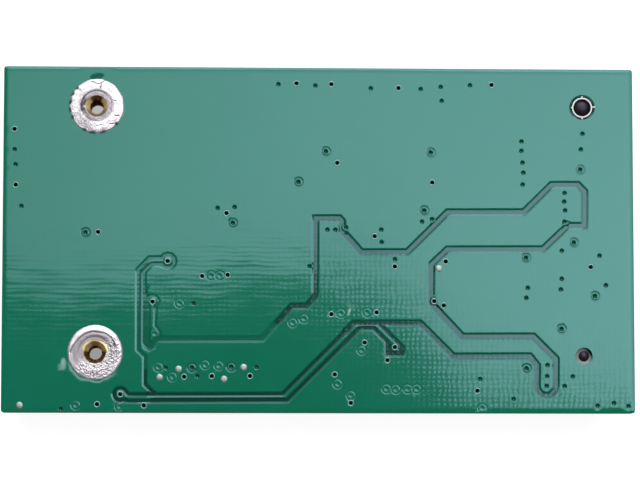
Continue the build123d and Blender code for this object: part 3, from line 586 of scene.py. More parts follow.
def marks(p):
    # scraped: the matt mark in the mask above the upper pad; pale: flux left round the lower pad;
    # laminate: dark nicks at the upper pad's rim and the ragged ring without mask round the upper peg
    look = markLooks["scrape"]
    q = (p - onBoard([look["pixel"]])[0]) / look["size"]
    slanted = q + np.stack([0 * q[:, 0], look["slant"] * q[:, 0]], 1)
    scraped = 1 - smoothStep(*look["edge"], np.linalg.norm(slanted, axis=1))
    look = markLooks["notches"]
    r, turn = around(p, standoffPlaces["upper"])
    inNotch = np.max([np.abs(turn - angle) < width for angle, width in upperNotches], axis=0)
    notched = look["strength"] * inNotch * (1 - smoothStep(*look["edge"], r))
    look = markLooks["flux"]
    r, turn = around(p, standoffPlaces["lower"])
    q = p - standoffPlaces["lower"]
    drift = smoothNoise(*q.T, 7, 2.2, 30)
    band = np.exp(-((r - look["radius"] - look["drift"] * drift) / look["width"]) ** 2)
    pale = look["strength"] * smoothStep(*look["from"], turn) * (1 - smoothStep(*look["to"], turn)) * band
    look = markLooks["nick"]
    q = (p - onBoard([look["pixel"]])[0]) @ np.array(look["turn"]) / look["size"]
    pale = np.maximum(pale, 1 - smoothStep(*look["edge"], np.linalg.norm(q, axis=1)))
    look = markLooks["smear"]
    q = (p - onBoard([look["pixel"]])[0]) / look["size"]
    smear = 1 - smoothStep(*look["edge"], np.linalg.norm(q, axis=1))
    pale = np.maximum(pale, look["strength"] * smear * (0.55 + 0.45 * drift))
    look = markLooks["pegRing"]
    r, turn = around(p, pegPlaces[0])
    turn = np.radians(turn)
    ragged = look["ragged"] * smoothNoise(np.cos(turn), np.sin(turn), 5, 4, 9)
    outer = 1 - smoothStep(look["outer"][0] + ragged, look["outer"][1] + ragged, r)
    return scraped, pale, np.maximum(smoothStep(*look["inner"], r) * outer, notched)


# how finely the board is meshed, and its edges
boardMesh = {"outlineStep": 1.0, "corner": 0.25, "cornerPoints": 4, "edgeBand": 0.12, "edgeDrop": 0.03,
             "edgeRound": 0.1, "viaMargin": 0.14, "viaSides": 14, "coveredSides": 12, "moatSides": 48,
             "padRings": np.arange(2.3, 3.5, 0.1), "padSides": 120, "scrapePixel": (97.0, 75.5),
             "scrapeX": np.arange(-1.2, 1.25, 0.1), "scrapeY": np.arange(-0.3, 0.75, 0.1),
             "nickPixel": (349.3, 312.0), "nickShare": 0.4, "gridStep": 0.7, "gridStart": 0.5, "gridEnd": 0.3,
             "gapClear": 0.15, "viaClear": 0.68, "smallHoleClear": 0.2, "largeHoleClear": 0.5, "merge": 1e-5,
             "holeBare": 0.8, "underBare": 0.7}


def boardOutline():
    # the rectangle with small round corners
    radius = boardMesh["corner"]
    points = []
    for sx, sy, start in ((1, 1, 0), (-1, 1, 90), (-1, -1, 180), (1, -1, 270)):
        turn = np.radians(start + np.linspace(0, 90, boardMesh["cornerPoints"]))
        centre = boardMiddle[:2] + (boardSize[:2] / 2 - radius) * (sx, sy)
        points.append(centre + radius * np.stack([np.cos(turn), np.sin(turn)], 1))
    loop = np.concatenate(points)
    return resample(np.vstack([loop, loop[:1]]), boardMesh["outlineStep"])[:-1]


def loopEdges(count, start):
    return [(start + i, start + (i + 1) % count) for i in range(count)]


def viaCircle(place, radius, sides):
    # a circle kept clear of the board's edge
    margin = boardMesh["viaMargin"]
    return np.clip(circle(place, radius, sides), boardLow[:2] + margin, boardHigh[:2] - margin)


def gridOf(xs, ys):
    x, y = np.meshgrid(xs, ys)
    return np.stack([x.ravel(), y.ravel()], 1)


def backPoints(outline):
    # points of the solder side and the edges to keep: rings at holes and vias, sides of gaps, a grid between
    points, edges = [], []

    def add(new, joined=False, closed=False):
        start = total(points)
        points.append(new)
        if closed:
            edges.extend(loopEdges(len(new), start))
        elif joined:
            edges.extend((start + i, start + i + 1) for i in range(len(new) - 1))

    mesh = boardMesh
    add(outline, closed=True)
    shrink = 1 - 2 * mesh["edgeBand"] / boardSize[:2]
    add(boardMiddle[:2] + (outline - boardMiddle[:2]) * shrink, closed=True)
    for place, radius, count in holes:
        add(circle(place, radius, count), closed=True)
    for kind, places in viaPlaces.items():
        for place in places:
            for radius, level in viaRelief[kind]:
                if radius == 0:
                    add(place[None, :])
                elif radius != holeRadius or kind != "ringed":
                    add(viaCircle(place, radius, mesh["viaSides"]))
    for radius in (*pegMoat["radii"], *pegMoat["moreRings"]):
        add(circle(pegPlaces[0], radius, mesh["moatSides"]), closed=True)
    for place in standoffPlaces.values():
        for radius in mesh["padRings"]:
            add(circle(place, radius, mesh["padSides"]))
    scrape = gridOf(mesh["scrapeX"], mesh["scrapeY"])
    add(onBoard([mesh["scrapePixel"]])[0] + scrape)
    add(onBoard([mesh["nickPixel"]])[0] + scrape * mesh["nickShare"])
    guard = gapSizes["guard"]
    for kind, dark, line in gapOnBoard:
        floor, top = gapSizes[kind]["floor"], gapSizes[kind]["top"]
        dense = resample(line, gapSizes["step"])
        for distance in (floor - guard, floor, top, top + guard):
            for side in (-1, 1):
                add(offsetLine(dense, side * distance), joined=True)
    spans = [np.arange(boardLow[i] + mesh["gridStart"], boardHigh[i] - mesh["gridEnd"], mesh["gridStep"])
             for i in (0, 1)]
    grid = gridOf(*spans)
    clear = np.ones(len(grid), bool)
    for kind, dark, line in gapOnBoard:
        clear &= distanceToLine(grid, line) > gapSizes[kind]["top"] + mesh["gapClear"]
    for place in np.concatenate(list(viaPlaces.values())):
        clear &= np.linalg.norm(grid - place, axis=1) > mesh["viaClear"]
    for place, radius, count in holes:
        gap = mesh["smallHoleClear"] if radius < largeHole else mesh["largeHoleClear"]
        clear &= np.linalg.norm(grid - place, axis=1) > radius + gap
    add(grid[clear])
    return np.concatenate(points), edges


def frontPoints(outline, largeHoles, everyVia):
    # points of the component side: the large holes, and rings where the mask sinks into covered vias
    points, edges = [outline], loopEdges(len(outline), 0)
    for place, radius, count in largeHoles:
        edges += loopEdges(count, total(points))
        points.append(circle(place, radius, count))
    for place in everyVia:
        points += [viaCircle(place, radius, boardMesh["coveredSides"]) for radius, level in coveredVia]
    return np.concatenate(points), edges


def trianglesBetween(points, edges, openings):
    # the flat points joined to triangles that keep the edges, without those inside the openings
    placed, _, triangles, *_ = delaunay_2d_cdt(points.tolist(), edges, [], 0, boardMesh["merge"])
    flat, triangles = np.array([tuple(v) for v in placed]), np.array(triangles)
    middles = flat[triangles].mean(1)
    keep = np.ones(len(triangles), bool)
    for place, radius, count in openings:
        keep &= np.linalg.norm(middles - place, axis=1) > radius * math.cos(math.pi / count)
    return flat, triangles[keep]


def buildBoard():
    outline = boardOutline()
    top, faces = trianglesBetween(*backPoints(outline), holes)
    height, bare = relief(top)
    fromEdges = np.hstack([top - boardLow[:2], boardHigh[:2] - top]).min(1)
    height -= boardMesh["edgeDrop"] * (1 - np.clip(fromEdges / boardMesh["edgeRound"], 0, 1))
    verts, faces = [np.column_stack([top, backZ + height])], faces.tolist()
    scraped, pale, laminate = marks(top)
    values = {"bare": [bare], "scraped": [scraped], "pale": [pale], "laminate": [laminate],
              "edge": [np.zeros(len(top))]}

    def addWall(loop, topZ, **given):
        # a wall from the solder side to the component side round a loop
        faces.extend(gridFaces(2, len(loop), start=total(verts)))
        verts.extend([np.column_stack([loop, topZ]), np.column_stack([loop, np.full(len(loop), frontZ)])])
        for key in values:
            values[key].append(np.full(2 * len(loop), given.get(key, 0.0)))

    addWall(outline[::-1], np.full(len(outline), backZ - boardMesh["edgeDrop"]), edge=1.0)
    for place, radius, count in holes:
        ring = circle(place, radius, count)
        addWall(ring, backZ + relief(ring)[0], bare=boardMesh["holeBare"] * (radius > largeHole))

    everyVia = np.concatenate(list(viaPlaces.values()))
    largeHoles = [hole for hole in holes if hole[1] > largeHole]
    under, underFaces = trianglesBetween(*frontPoints(outline, largeHoles, everyVia), largeHoles)
    nearest = np.min(np.linalg.norm(under[:, None] - everyVia, axis=2), axis=1)
    faces.extend((underFaces[:, ::-1] + total(verts)).tolist())
    verts.append(np.column_stack([under, frontZ + np.interp(nearest, *zip(*coveredVia))]))
    for key in values:
        values[key].append(np.full(len(under), boardMesh["underBare"] * (key == "bare")))
    newPiece("board_with_relief", np.concatenate(verts), faces, materials["solder_mask"],
             replaces=["circuit_board"],
             values={key: np.concatenate(arrays) for key, arrays in values.items()})


buildBoard()
print("stage: board")

# tin at the vias: a rounded ring round each ringed hole, a dome on each filled one
tinRing = {"inner": 0.21, "outer": 0.315, "height": 0.025, "around": 18, "across": 6, "fullness": 0.7}
tinDome = {"radius": 0.33, "height": 0.06, "around": 18, "across": 6, "tip": 0.03, "ballShare": 0.999}
# how far below the mask tin starts
sunk = 0.002


def lathe(place, radii, heights, sides):
    # rings of given radius and height about a vertical axis
    turn = 2 * np.pi * np.arange(sides) / sides
    radii, heights = np.asarray(radii)[:, None], np.asarray(heights)[:, None]
    x = place[0] + radii * np.cos(turn)
    y = place[1] + radii * np.sin(turn)
    return np.stack([x, y, np.broadcast_to(heights, x.shape)], -1).reshape(-1, 3)


def lathed(name, places, radii, heights, sides, material):
    # one piece of the same turned shape at every place; each place may have its own radii
    verts, faces = [], []
    for place, placeRadii in zip(places, np.broadcast_to(radii, (len(places), len(heights)))):
        faces += gridFaces(len(heights), sides, flip=True, start=total(verts))
        verts.append(lathe(place, placeRadii, heights, sides))
    newPiece(name, np.concatenate(verts), faces, materials[material])


def viaTin():
    # ring: half a sine across, raised to fullness; dome: part of a ball
    s = np.linspace(0, 1, tinRing["across"])
    radii = tinRing["inner"] + (tinRing["outer"] - tinRing["inner"]) * s
    rise = tinRing["height"] * np.sin(np.pi * s) ** tinRing["fullness"]
    heights = backZ + rise - sunk
    lathed("via_rims", viaPlaces["ringed"], radii, heights, tinRing["around"], "via_rim")
    s = np.linspace(tinDome["tip"], 1, tinDome["across"])
    rise = tinDome["height"] * np.sqrt(1 - s * s * tinDome["ballShare"])
    lathed("via_domes", viaPlaces["filled"], tinDome["radius"] * s, backZ - sunk + rise, tinDome["around"],
           "tin")


viaTin()

# printed ring with four ticks round the upper peg
pegRing = {"inner": 0.875, "outer": 0.995, "sides": 64, "tickAngles": (4, 90, 180, 270),
           "tickLengths": (0.30, 0.16, 0.10, 0.16), "tickWidth": 0.12, "overlap": 0.02, "lift": 0.012}


def pegLegend():
    # a flat ring, and for each tick a rectangle out from it
    ring = pegRing
    z = backZ + ring["lift"]
    verts = [lathe(pegPlaces[0], (ring["inner"], ring["outer"]), (z, z), ring["sides"])]
    faces = gridFaces(2, ring["sides"], flip=True)
    for turn, tickLength in zip(np.radians(ring["tickAngles"]), ring["tickLengths"]):
        along, side = np.array([math.cos(turn), math.sin(turn)]), np.array([-math.sin(turn), math.cos(turn)])
        near, far, half = ring["outer"] - ring["overlap"], ring["outer"] + tickLength, ring["tickWidth"] / 2
        corners = [pegPlaces[0] + along * r + side * w
                   for r, w in ((near, -half), (far, -half), (far, half), (near, half))]
        faces.append([total(verts) + i for i in range(4)])
        verts.append(np.column_stack([np.array(corners), np.full(4, z)]))
    newPiece("peg_ring_legend", np.concatenate(verts), faces, materials["legend"])


pegLegend()
print("stage: vias and legend")

# standoffs: turned brass with a helical thread in the bore
standoffSizes = {"body": 2.2, "height": 2.7, "chamfer": 0.2, "bore": 0.65, "thread": 0.14, "pitch": 0.35,
                 "mouth": 1.05, "mouthDepth": 0.6, "proud": 0.06, "seat": 0.001, "shankRound": (0.06, 0.05),
                 "lip": (0.08, 0.02), "around": 84, "rows": 150, "ringShares": (0, 0.04, 0.5, 0.96)}
# how each countersink is marked by angle in degrees: painted shade where dark, grey tin where tinned, and a
# painted highlight where its brass turns diffuse and pale
mouthLooks = {
    "upper": {"dark": ((0, 0.1), (45, 0.1), (62, 0.95), (118, 0.95), (135, 0.1), (195, 0.2), (230, 0.5),
                       (310, 0.5), (360, 0.1)),
              "tinned": ((0, 0.1), (60, 0.0), (180, 0.1), (215, 0.8), (330, 0.8), (360, 0.1)),
              "worn": ((0, 0.9), (45, 1.0), (60, 0.0), (122, 0.0), (137, 1.0), (185, 0.9), (215, 0.3),
                       (325, 0.3), (360, 0.9))},
    "lower": {"dark": ((0, 0.9), (15, 0.1), (60, 0.1), (75, 0.55), (105, 0.55), (120, 0.1), (165, 0.1),
                       (180, 0.9), (360, 0.9)),
              "tinned": ((0, 0.0), (360, 0.0)),
              "worn": ((0, 0.0), (20, 0.6), (160, 0.6), (180, 0.0), (360, 0.0))},
}
# depths over which the painted shade in the bore deepens and the tin and the painted highlight end
mouthDepths = {"dark": (0.3, 1.2), "darkShare": 0.5, "tinned": (0.25, 0.6), "worn": (0.5, 0.75), "shank": 0.1}


def standoff(name):
    s = standoffSizes
    endZ, seatZ, faceZ = frontZ - s["height"], frontZ - s["seat"], backZ + s["proud"]
    turn = 2 * np.pi * np.arange(s["around"]) / s["around"]
    # outside: from the bore's lower mouth round the body and shank up to the rim of the countersink
    outer = [(s["bore"], endZ), (s["body"] - s["chamfer"], endZ), (s["body"], endZ + s["chamfer"]),
             (s["body"], seatZ), (shankRadius, seatZ), (shankRadius, faceZ - s["shankRound"][1]),
             (shankRadius - s["shankRound"][0], faceZ), (s["mouth"] + s["lip"][0], faceZ + s["lip"][1]),
             (s["mouth"], faceZ)]
    rings = []
    for (r0, z0), (r1, z1) in zip(outer, outer[1:]):
        rings += [(r0 + (r1 - r0) * t, z0 + (z1 - z0) * t) for t in s["ringShares"]]
    radii, heights = (np.array(v)[:, None] for v in zip(*rings))
    outside = np.stack([radii * np.cos(turn), radii * np.sin(turn), heights + 0 * turn], -1)
    # inside: radius falls from the mouth to the bore, with a triangle wave that climbs one pitch a turn
    z = np.linspace(faceZ, endZ, s["rows"])[:, None]
    cone = s["mouth"] - (faceZ - z) / s["mouthDepth"] * (s["mouth"] - s["bore"])
    wave = np.abs(((z / s["pitch"] - turn / (2 * np.pi)) % 1.0) * 2 - 1)
    r = np.maximum(cone, s["bore"] + s["thread"] * wave)
    inside = np.stack([r * np.cos(turn), r * np.sin(turn), z + 0 * turn], -1)
    # the countersink takes its painted shade, tin and painted highlight by angle, and the thread below it
    # gets more painted shade with depth
    dark, tinned, worn = (np.interp(np.degrees(turn), *zip(*mouthLooks[name][key]))
                          for key in ("dark", "tinned", "worn"))
    depth, nearFace = faceZ - z, outside[..., 2] > backZ - mouthDepths["shank"]
    deepDark = np.clip(dark + mouthDepths["darkShare"] * smoothStep(*mouthDepths["dark"], depth), 0, 1)
    shallowTin, shallowGlint = (look * (1 - smoothStep(*mouthDepths[key], depth))
                               for look, key in ((tinned, "tinned"), (worn, "worn")))
    # the dark share is painted shade, and the pale diffuse share is a painted highlight
    values = {"grime": (dark * nearFace, deepDark), "tinned": (tinned * nearFace, shallowTin),
              "worn": (0.0 * nearFace, shallowGlint)}
    grid = np.concatenate([outside, inside])
    grid[..., :2] += standoffPlaces[name]
    newPiece(f"{name}_turned_standoff", grid.reshape(-1, 3), gridFaces(len(grid), s["around"], flip=True),
             materials["standoff_brass"], replaces=[f"{name}_standoff"],
             values={key: np.concatenate(pair).ravel() for key, pair in values.items()})


# solder on the standoffs' shanks: noise, dirt and darkening by x and y from the middle of each
def lipLeftDarkening(x, y):
    # darker at the left of the lip, broken up by noise
    near = np.exp(-((x + 1.25) ** 2 / 0.16 + (y - 0.1) ** 2 / 0.9))
    return near * smoothStep(0.15, 0.6, smoothNoise(x, y, 29, 4, 60))


def upperGrain(x, y):
    return 0.4 + 0.6 * smoothStep(-0.5, -1.8, y + x * 0.4)


def upperGrime(x, y):
    # a spot at the lower left, cloudy dirt inside the shank's rim and the darkening at the left of the lip
    spot = 0.75 * np.exp(-((x + 1.35) ** 2 + (y + 1.15) ** 2) / 0.45)
    cloud = 0.45 * smoothStep(1.5, 1.2, np.hypot(x, y)) * smoothNoise(x, y, 17, 3, 20)
    return spot * smoothNoise(x, y, 13, 5, 20) + cloud + 1.1 * lipLeftDarkening(x, y)


def upperTinned(x, y):
    # grey over the shank's face, unevenly, and in a spot at its lower left
    face = 0.95 * smoothStep(1.62, 1.48, np.hypot(x, y)) * (1 - lipLeftDarkening(x, y))
    spot = 0.5 * np.exp(-((x + 0.7) ** 2 + (y + 1.55) ** 2) / 0.25)
    return face * (0.55 + 0.6 * smoothNoise(x, y, 23, 6, 30)) + spot


def lowerGrain(x, y):
    return smoothStep(0.9, -0.3, y - x * 0.9)


def lowerGrime(x, y):
    # dark specks in the grainy part
    specks = smoothStep(0.5, 0.85, smoothNoise(x, y, 21, 11, 50))
    return smoothStep(2.45, 2.2, np.hypot(x, y)) * lowerGrain(x, y) * 0.8 * specks


def lowerTinned(x, y):
    # greyer away from the grainy part
    return smoothStep(2.3, 2.1, np.hypot(x, y)) * (0.2 + 0.65 * smoothStep(-0.2, 0.6, y - x * 0.8))


# radii, noise and creases of each ring of solder, with angles in degrees
lipCrease = [(1.52 * math.cos(t), 1.52 * math.sin(t)) for t in np.radians(np.arange(55, 200, 12))]
solderLooks = {
    "upper": {"rim": 2.70, "ragged": 0.035, "notches": upperNotches, "lump": 0.04, "grain": 0.03, "seed": 3,
              "creaseWidth": 0.05, "inner": ((0, 1.08), (360, 1.08)),
              "creases": [[(-0.5, 2.45), (0.1, 2.2), (0.45, 2.3), (0.75, 2.55)], [(0.45, 2.2), (0.35, 1.75)],
                          [(1.3, -1.75), (2.0, -1.7)], [(1.85, -0.95), (2.15, -0.95)],
                          [(1.75, 0.5), (1.85, 0.52)], lipCrease],
              "grainShare": upperGrain, "grime": upperGrime, "tinned": upperTinned},
    "lower": {"rim": 2.68, "ragged": 0.02, "notches": (), "lump": 0.03, "grain": 0.06, "seed": 11,
              "creaseWidth": 0.075, "inner": ((0, 1.12), (25, 1.34), (60, 1.22), (120, 1.22), (155, 1.34),
                                              (180, 1.12), (360, 1.08)),
              "creases": [[(-2.43, 0.0), (-2.2, 0.6), (-1.53, 1.39), (-0.9, 1.8), (-0.25, 2.0), (0.94, 1.85),
                           (1.5, 1.5), (1.83, 1.05), (1.95, 0.6)]],
              "grainShare": lowerGrain, "grime": lowerGrime, "tinned": lowerTinned},
}
# height of the solder and how much of its relief it keeps, both by share of the way from shank to rim
solderHeights = ((-0.4, 0.083), (-0.3, 0.10), (0.0, 0.105), (0.05, 0.125), (0.2, 0.165), (0.6, 0.15),
                 (0.9, 0.09), (1.0, 0.0))
solderRelief = ((-0.3, 0.15), (-0.1, 0.5), (0.1, 1.0), (0.82, 1.0), (0.95, 0.0))
solderMesh = {"around": 320, "across": 64, "sunk": 0.004, "highest": 0.215, "notch": 0.15,
              "creaseDepth": 0.05, "creaseShade": 0.75}


def standoffSolder(name, look):
    # a ring from the mouth over the shank's face to a ragged rim: height by radius, lumps, grain and creases
    sides, across = solderMesh["around"], solderMesh["across"]
    turn = 2 * np.pi * np.arange(sides) / sides
    degrees = np.degrees(turn)
    c, d = np.cos(turn), np.sin(turn)
    seed = look["seed"]
    rim = look["rim"] + look["ragged"] * (smoothNoise(c, d, seed, 9, 40) - 0.5) * 2
    for angle, width in look["notches"]:
        rim = rim - solderMesh["notch"] * np.exp(-((degrees - angle) / width) ** 2)
    inner = np.interp(degrees, *zip(*look["inner"]))
    radius = inner + (rim - inner) * np.linspace(0, 1, across)[:, None]
    x, y = radius * c, radius * d
    outward = (radius - shankRadius) / (rim - shankRadius)
    lumps = (smoothNoise(x, y, seed + 1, 1.6, 7) - 0.5) * look["lump"]
    coarse, fine = (smoothNoise(x, y, seed + n, scale) - 0.5 for n, scale in ((2, 8.5), (4, 17)))
    grain = (coarse + 0.6 * fine) * look["grain"] * look["grainShare"](x, y)
    flat = np.stack([x.ravel(), y.ravel()], 1)
    crease = np.zeros(x.shape)
    for line in look["creases"]:
        near = np.exp(-(distanceToLine(flat, np.array(line)) / look["creaseWidth"]) ** 2)
        crease = np.maximum(crease, near.reshape(x.shape))
    bumps = (lumps + grain - solderMesh["creaseDepth"] * crease) * np.interp(outward, *zip(*solderRelief))
    z = backZ - solderMesh["sunk"] + np.interp(outward, *zip(*solderHeights)) + bumps
    # painted shade darkens the creases, added to the real dirt of each ring
    grime = np.clip(solderMesh["creaseShade"] * crease + look["grime"](x, y), 0, 1)
    tinned = np.clip(look["tinned"](x, y), 0, 1)
    place = standoffPlaces[name]
    grid = np.stack([place[0] + x, place[1] + y, np.minimum(z, backZ + solderMesh["highest"])], -1)
    newPiece(f"{name}_solder_ring", grid.reshape(-1, 3), gridFaces(across, sides, flip=True),
             materials["solder"], replaces=[f"{name}_standoff_solder"],
             values={"grime": grime.ravel(), "tinned": tinned.ravel()})


for standoffName, solderLook in solderLooks.items():
    standoff(standoffName)
    standoffSolder(standoffName, solderLook)

# the socket's pegs end in low domes just under the solder side; the thin one stands on a shoulder
pegEnds = {"radii": (0.79, 0.54), "recess": 0.29, "crown": 0.20, "fullness": 2.5, "tip": 0.02, "across": 10,
           "around": 40}
pegCollar = {"inner": 0.52, "outer": 0.845, "drop": 0.24, "rise": 0.02, "hollow": 1.4, "gap": 0.22,
             "gapAngle": 38.0, "gapWidth": 44.0, "across": 12, "around": 48}


def pegDomes():
    # height falls from the crown by a power of the radius
    s = np.linspace(pegEnds["tip"], 1, pegEnds["across"])
    heights = backZ - pegEnds["recess"] + pegEnds["crown"] * (1 - s ** pegEnds["fullness"])
    lathed("peg_ends", pegPlaces, np.outer(pegEnds["radii"], s), heights, pegEnds["around"],
           "socket_moulding")


def collar():
    # a hollow cone of bare laminate from the thin peg up to the rim of its hole, drawn back on one side
    s = np.linspace(0, 1, pegCollar["across"])[:, None]
    turn = 2 * np.pi * np.arange(pegCollar["around"]) / pegCollar["around"]
    away = (np.degrees(turn) - pegCollar["gapAngle"] + 180) % 360 - 180
    outer = pegCollar["outer"] - pegCollar["gap"] * np.exp(-(away / pegCollar["gapWidth"]) ** 2)
    radii = pegCollar["inner"] + (outer - pegCollar["inner"]) * s
    rise = (pegCollar["drop"] - pegCollar["rise"]) * s ** pegCollar["hollow"]
    heights = backZ - pegCollar["drop"] + rise + 0 * turn
    x, y = pegPlaces[1]
    grid = np.stack([x + radii * np.cos(turn), y + radii * np.sin(turn), heights], -1)
    newPiece("lower_peg_collar", grid.reshape(-1, 3), gridFaces(len(s), pegCollar["around"], flip=True),
             materials["peg_collar"])


pegDomes()
collar()
print("stage: standoffs and solder")

# component side: CAD nodes take their finer materials
slotNames = {row["node"]: row["material_slot"] for row in frame["record"]["subparts"]}
for node in nodes.values():
    node.data.materials.clear()
    node.data.materials.append(materials[slotNames[node.name]])

# chip parts: plated ends over those of the solids, each with a solder fillet down to the board
chipEnds = {"lengths": {"decoupling_capacitor": 0.35, "coupling_capacitor": 0.25, "pull_up_resistor": 0.30,
                        "filter_bead": 0.40},
            "arrayPad": (0.22, 0.30), "arrayWays": 4, "cover": 0.012,
            "filletReach": 0.26, "filletShare": 0.55, "filletWidthShare": 0.92}
# a fillet's hollow side: shares of its reach and of its height
filletShares = np.array([(0.0, 0.0), (0.0, 1.0), (0.16, 0.52), (0.42, 0.2), (1.0, 0.0)])
boxFaces = [(0, 1, 3, 2), (4, 6, 7, 5), (0, 4, 5, 1), (2, 3, 7, 6), (0, 2, 6, 4), (1, 5, 7, 3)]


def terminal(middle, along, outer, length, halfWidth, top):
    # a cap is a box over the end of a part; a fillet is a hollow triangle carried across, from cap to board
    side = np.array([-along[1], along[0]])
    cover = chipEnds["cover"]
    halfWidth, top = halfWidth + cover, top - cover
    cap = [[*(middle + along * a + side * b), z]
           for a in (outer - length, outer + cover) for b in (-halfWidth, halfWidth) for z in (top, frontZ)]
    reach = outer + cover + filletShares[:, :1] * chipEnds["filletReach"]
    heights = frontZ - sunk - filletShares[:, 1] * (frontZ - top) * chipEnds["filletShare"]
    edge = chipEnds["filletWidthShare"] * halfWidth
    fillet = [np.column_stack([middle + along * reach + side * w, heights]) for w in (-edge, edge)]
    return np.array(cap), np.concatenate(fillet)


def copies(faces, count, points):
    # the same faces for each of many shapes that have so many points each
    return [[v + points * i for v in face] for i in range(count) for face in faces]


def chipTerminals():
    ends = []
    for name in nodes:
        low, high = (np.array(corner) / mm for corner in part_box(name))
        middle, half = ((low + high) / 2)[:2], ((high - low) / 2)[:2]
        kind = name.rsplit("_", 1)[0]
        if kind in chipEnds["lengths"]:
            long = int(np.argmax(half))
            ends += [terminal(middle, np.eye(2)[long] * sign, half[long], chipEnds["lengths"][kind],
                              half[1 - long], low[2]) for sign in (-1, 1)]
        if kind == "line_resistor_array":
            depth, width = chipEnds["arrayPad"]
            ways = chipEnds["arrayWays"]
            spots = (np.arange(ways) - (ways - 1) / 2) * 2 * half[1] / ways
            ends += [terminal(middle + (0, spot), np.array([sign, 0.0]), half[0], depth, width / 2, low[2])
                     for spot in spots for sign in (-1, 1)]
    caps, fillets = zip(*ends)
    newPiece("chip_end_caps", np.concatenate(caps), copies(boxFaces, len(caps), 8),
             materials["tinned_metal"], smooth=False)
    n = len(filletShares)
    shape = [[i, i + 1, n + i + 1, n + i] for i in range(1, n - 1)]
    shape += [list(range(n))[::-1], list(range(n, 2 * n)), [0, n, 2 * n - 1, n - 1]]
    newPiece("chip_solder_fillets", np.concatenate(fillets), copies(shape, len(fillets), 2 * n),
             materials["tin"], smooth=False)


chipTerminals()

# tracks under the mask of the component side and tinned pads at the leads, in millimetres
trackSizes = {"signal": 0.17, "power": 0.32, "supply": 0.7, "height": 0.014, "topShare": 0.42, "sunk": 0.001,
              "padWidth": 0.28, "padHeight": 0.02, "corner": 0.4, "slack": 0.001}
chipLeads = {"x": (4.07, 9.57), "y": (-4.96, 0.54), "ways": 12, "left": 1.99, "right": 11.65,
             "lower": -7.04, "upper": 2.62, "padIn": 0.8}
cableFeet = {"y": (-8.8, 10.7), "ways": 40, "pitch": 0.5, "x": -24.45, "firstUsed": -4.8, "used": 20,
             "bendX": -21.0, "arrayX": -14.6, "arrayWays": 4}
footPad = {"out": 0.25, "in": 0.9}
# where tracks end: right of the arrays, at both ends of the pull-up resistors, at the chip's two sides
arrayX, pullLeftX, pullRightX, leadX, rightLeadX = -13.3, -7.1, -5.3, 2.1, 11.5
couplingX = {"left": 17.1, "right": 18.3, "bend": 20.2}
# each bent track: its start, the x of its bend and its end
bentRoutes = [
    ((arrayX, 3.2), -8.0, (pullLeftX, 3.4)), ((pullRightX, 3.4), -1.26, (leadX, 0.54)),
    ((arrayX, 1.2), -8.0, (pullLeftX, 1.36)), ((pullRightX, 1.36), 0.18, (leadX, 0.04)),
    ((arrayX, -2.3), -8.2, (pullLeftX, -2.72)), ((pullRightX, -2.72), -5.0, (leadX, -2.46)),
    ((arrayX, 0.2), 0.4, (leadX, -0.46)), ((arrayX, -0.8), 0.9, (leadX, -0.96)),
    ((arrayX, -1.3), 0.7, (leadX, -1.46)), ((arrayX, -1.8), 0.5, (leadX, -1.96)),
    ((arrayX, -3.3), -4.6, (leadX, -2.96))]
crystalRoutes = [[(-0.2, -7.9), (3.6, -7.9), (4.07, -7.43), (4.07, -6.9)],
                 [(-0.2, -8.9), (3.9, -8.9), (4.57, -8.23), (4.57, -6.9)]]
# tracks round the chip's corner: y at the array and x at the lead of the first, and the rise of all
upperRoutes = {"first": (5.2, 5.07), "pitch": 0.5, "ways": 4, "riseX": -12.0, "rise": 1.2}
# each coupled track: y of the chip's lead, x of its upright run and y of its capacitor
couplingRoutes = ((0.04, 15.0, 6.80), (-0.46, 15.4, 5.44), (-0.96, 15.8, 2.72), (-1.46, 16.2, 1.36))
powerRoutes = [
    [(0.31, 3.2), (0.61, 2.9), (3.87, 2.9), (4.07, 2.7), (4.07, 2.5)],
    [(3.7, 5.44), (4.17, 5.44), (4.57, 5.04), (4.57, 2.5)],
    [(9.4, 5.44), (9.27, 5.44), (9.07, 5.24), (9.07, 2.5)],
    [(13.95, 0.8), (13.69, 0.54), (11.5, 0.54)], [(13.95, -5.02), (13.89, -4.96), (11.5, -4.96)],
    [(8.7, -10.2), (8.57, -10.07), (8.57, -6.9)], [(4.6, -10.2), (5.07, -9.73), (5.07, -6.9)],
    [(-0.31, -3.5), (-0.27, -3.46), (2.1, -3.46)]]
supplyRoutes = [
    [(-7.7, -13.69), (-7.0, -13.69), (-6.7, -13.39), (-6.1, -13.39)],
    [(-16.0, -14.79), (-15.9, -14.79), (-15.3, -14.19), (-15.3, -12.0), (-14.7, -11.4), (-14.4, -11.4)]]


def ridges(name, groups, height, material):
    # four edges carried along each line: its two feet in the board and the two sides of its flat top
    verts, faces = [], []
    foot, top = (0.5, trackSizes["sunk"]), (trackSizes["topShare"], -height)
    for width, lines in groups:
        for line in lines:
            faces += gridFaces(4, len(line), closed=False, flip=True, start=total(verts))
            for share, level in (foot, top, (-top[0], top[1]), (-foot[0], foot[1])):
                edge = offsetLine(np.array(line, float), share * width)
                verts.append(np.column_stack([edge, np.full(len(line), frontZ + level)]))
    newPiece(name, np.concatenate(verts), faces, materials[material], smooth=False)


def socketFeet(name, atHighEnd):
    # middles of the contacts' feet, from the two edges that each shows at the end of its row
    mesh = nodes[name].data
    p = np.empty(3 * len(mesh.vertices))
    mesh.vertices.foreach_get("co", p)
    p = p.reshape(-1, 3) / mm
    end = p[:, 0].max() if atHighEnd else p[:, 0].min()
    edges = np.unique(np.round(p[np.abs(p[:, 0] - end) < 0.01, 1], 2))
    return edges.reshape(-1, 2).mean(1), end


def bent(start, bendX, end, slack=0.0):
    # straight on, a bend at 45 degrees, and straight on again
    (x0, y0), (x1, y1) = start, end
    return [(x0, y0), (bendX, y0), (bendX + abs(y1 - y0) + slack, y1), (x1, y1)]


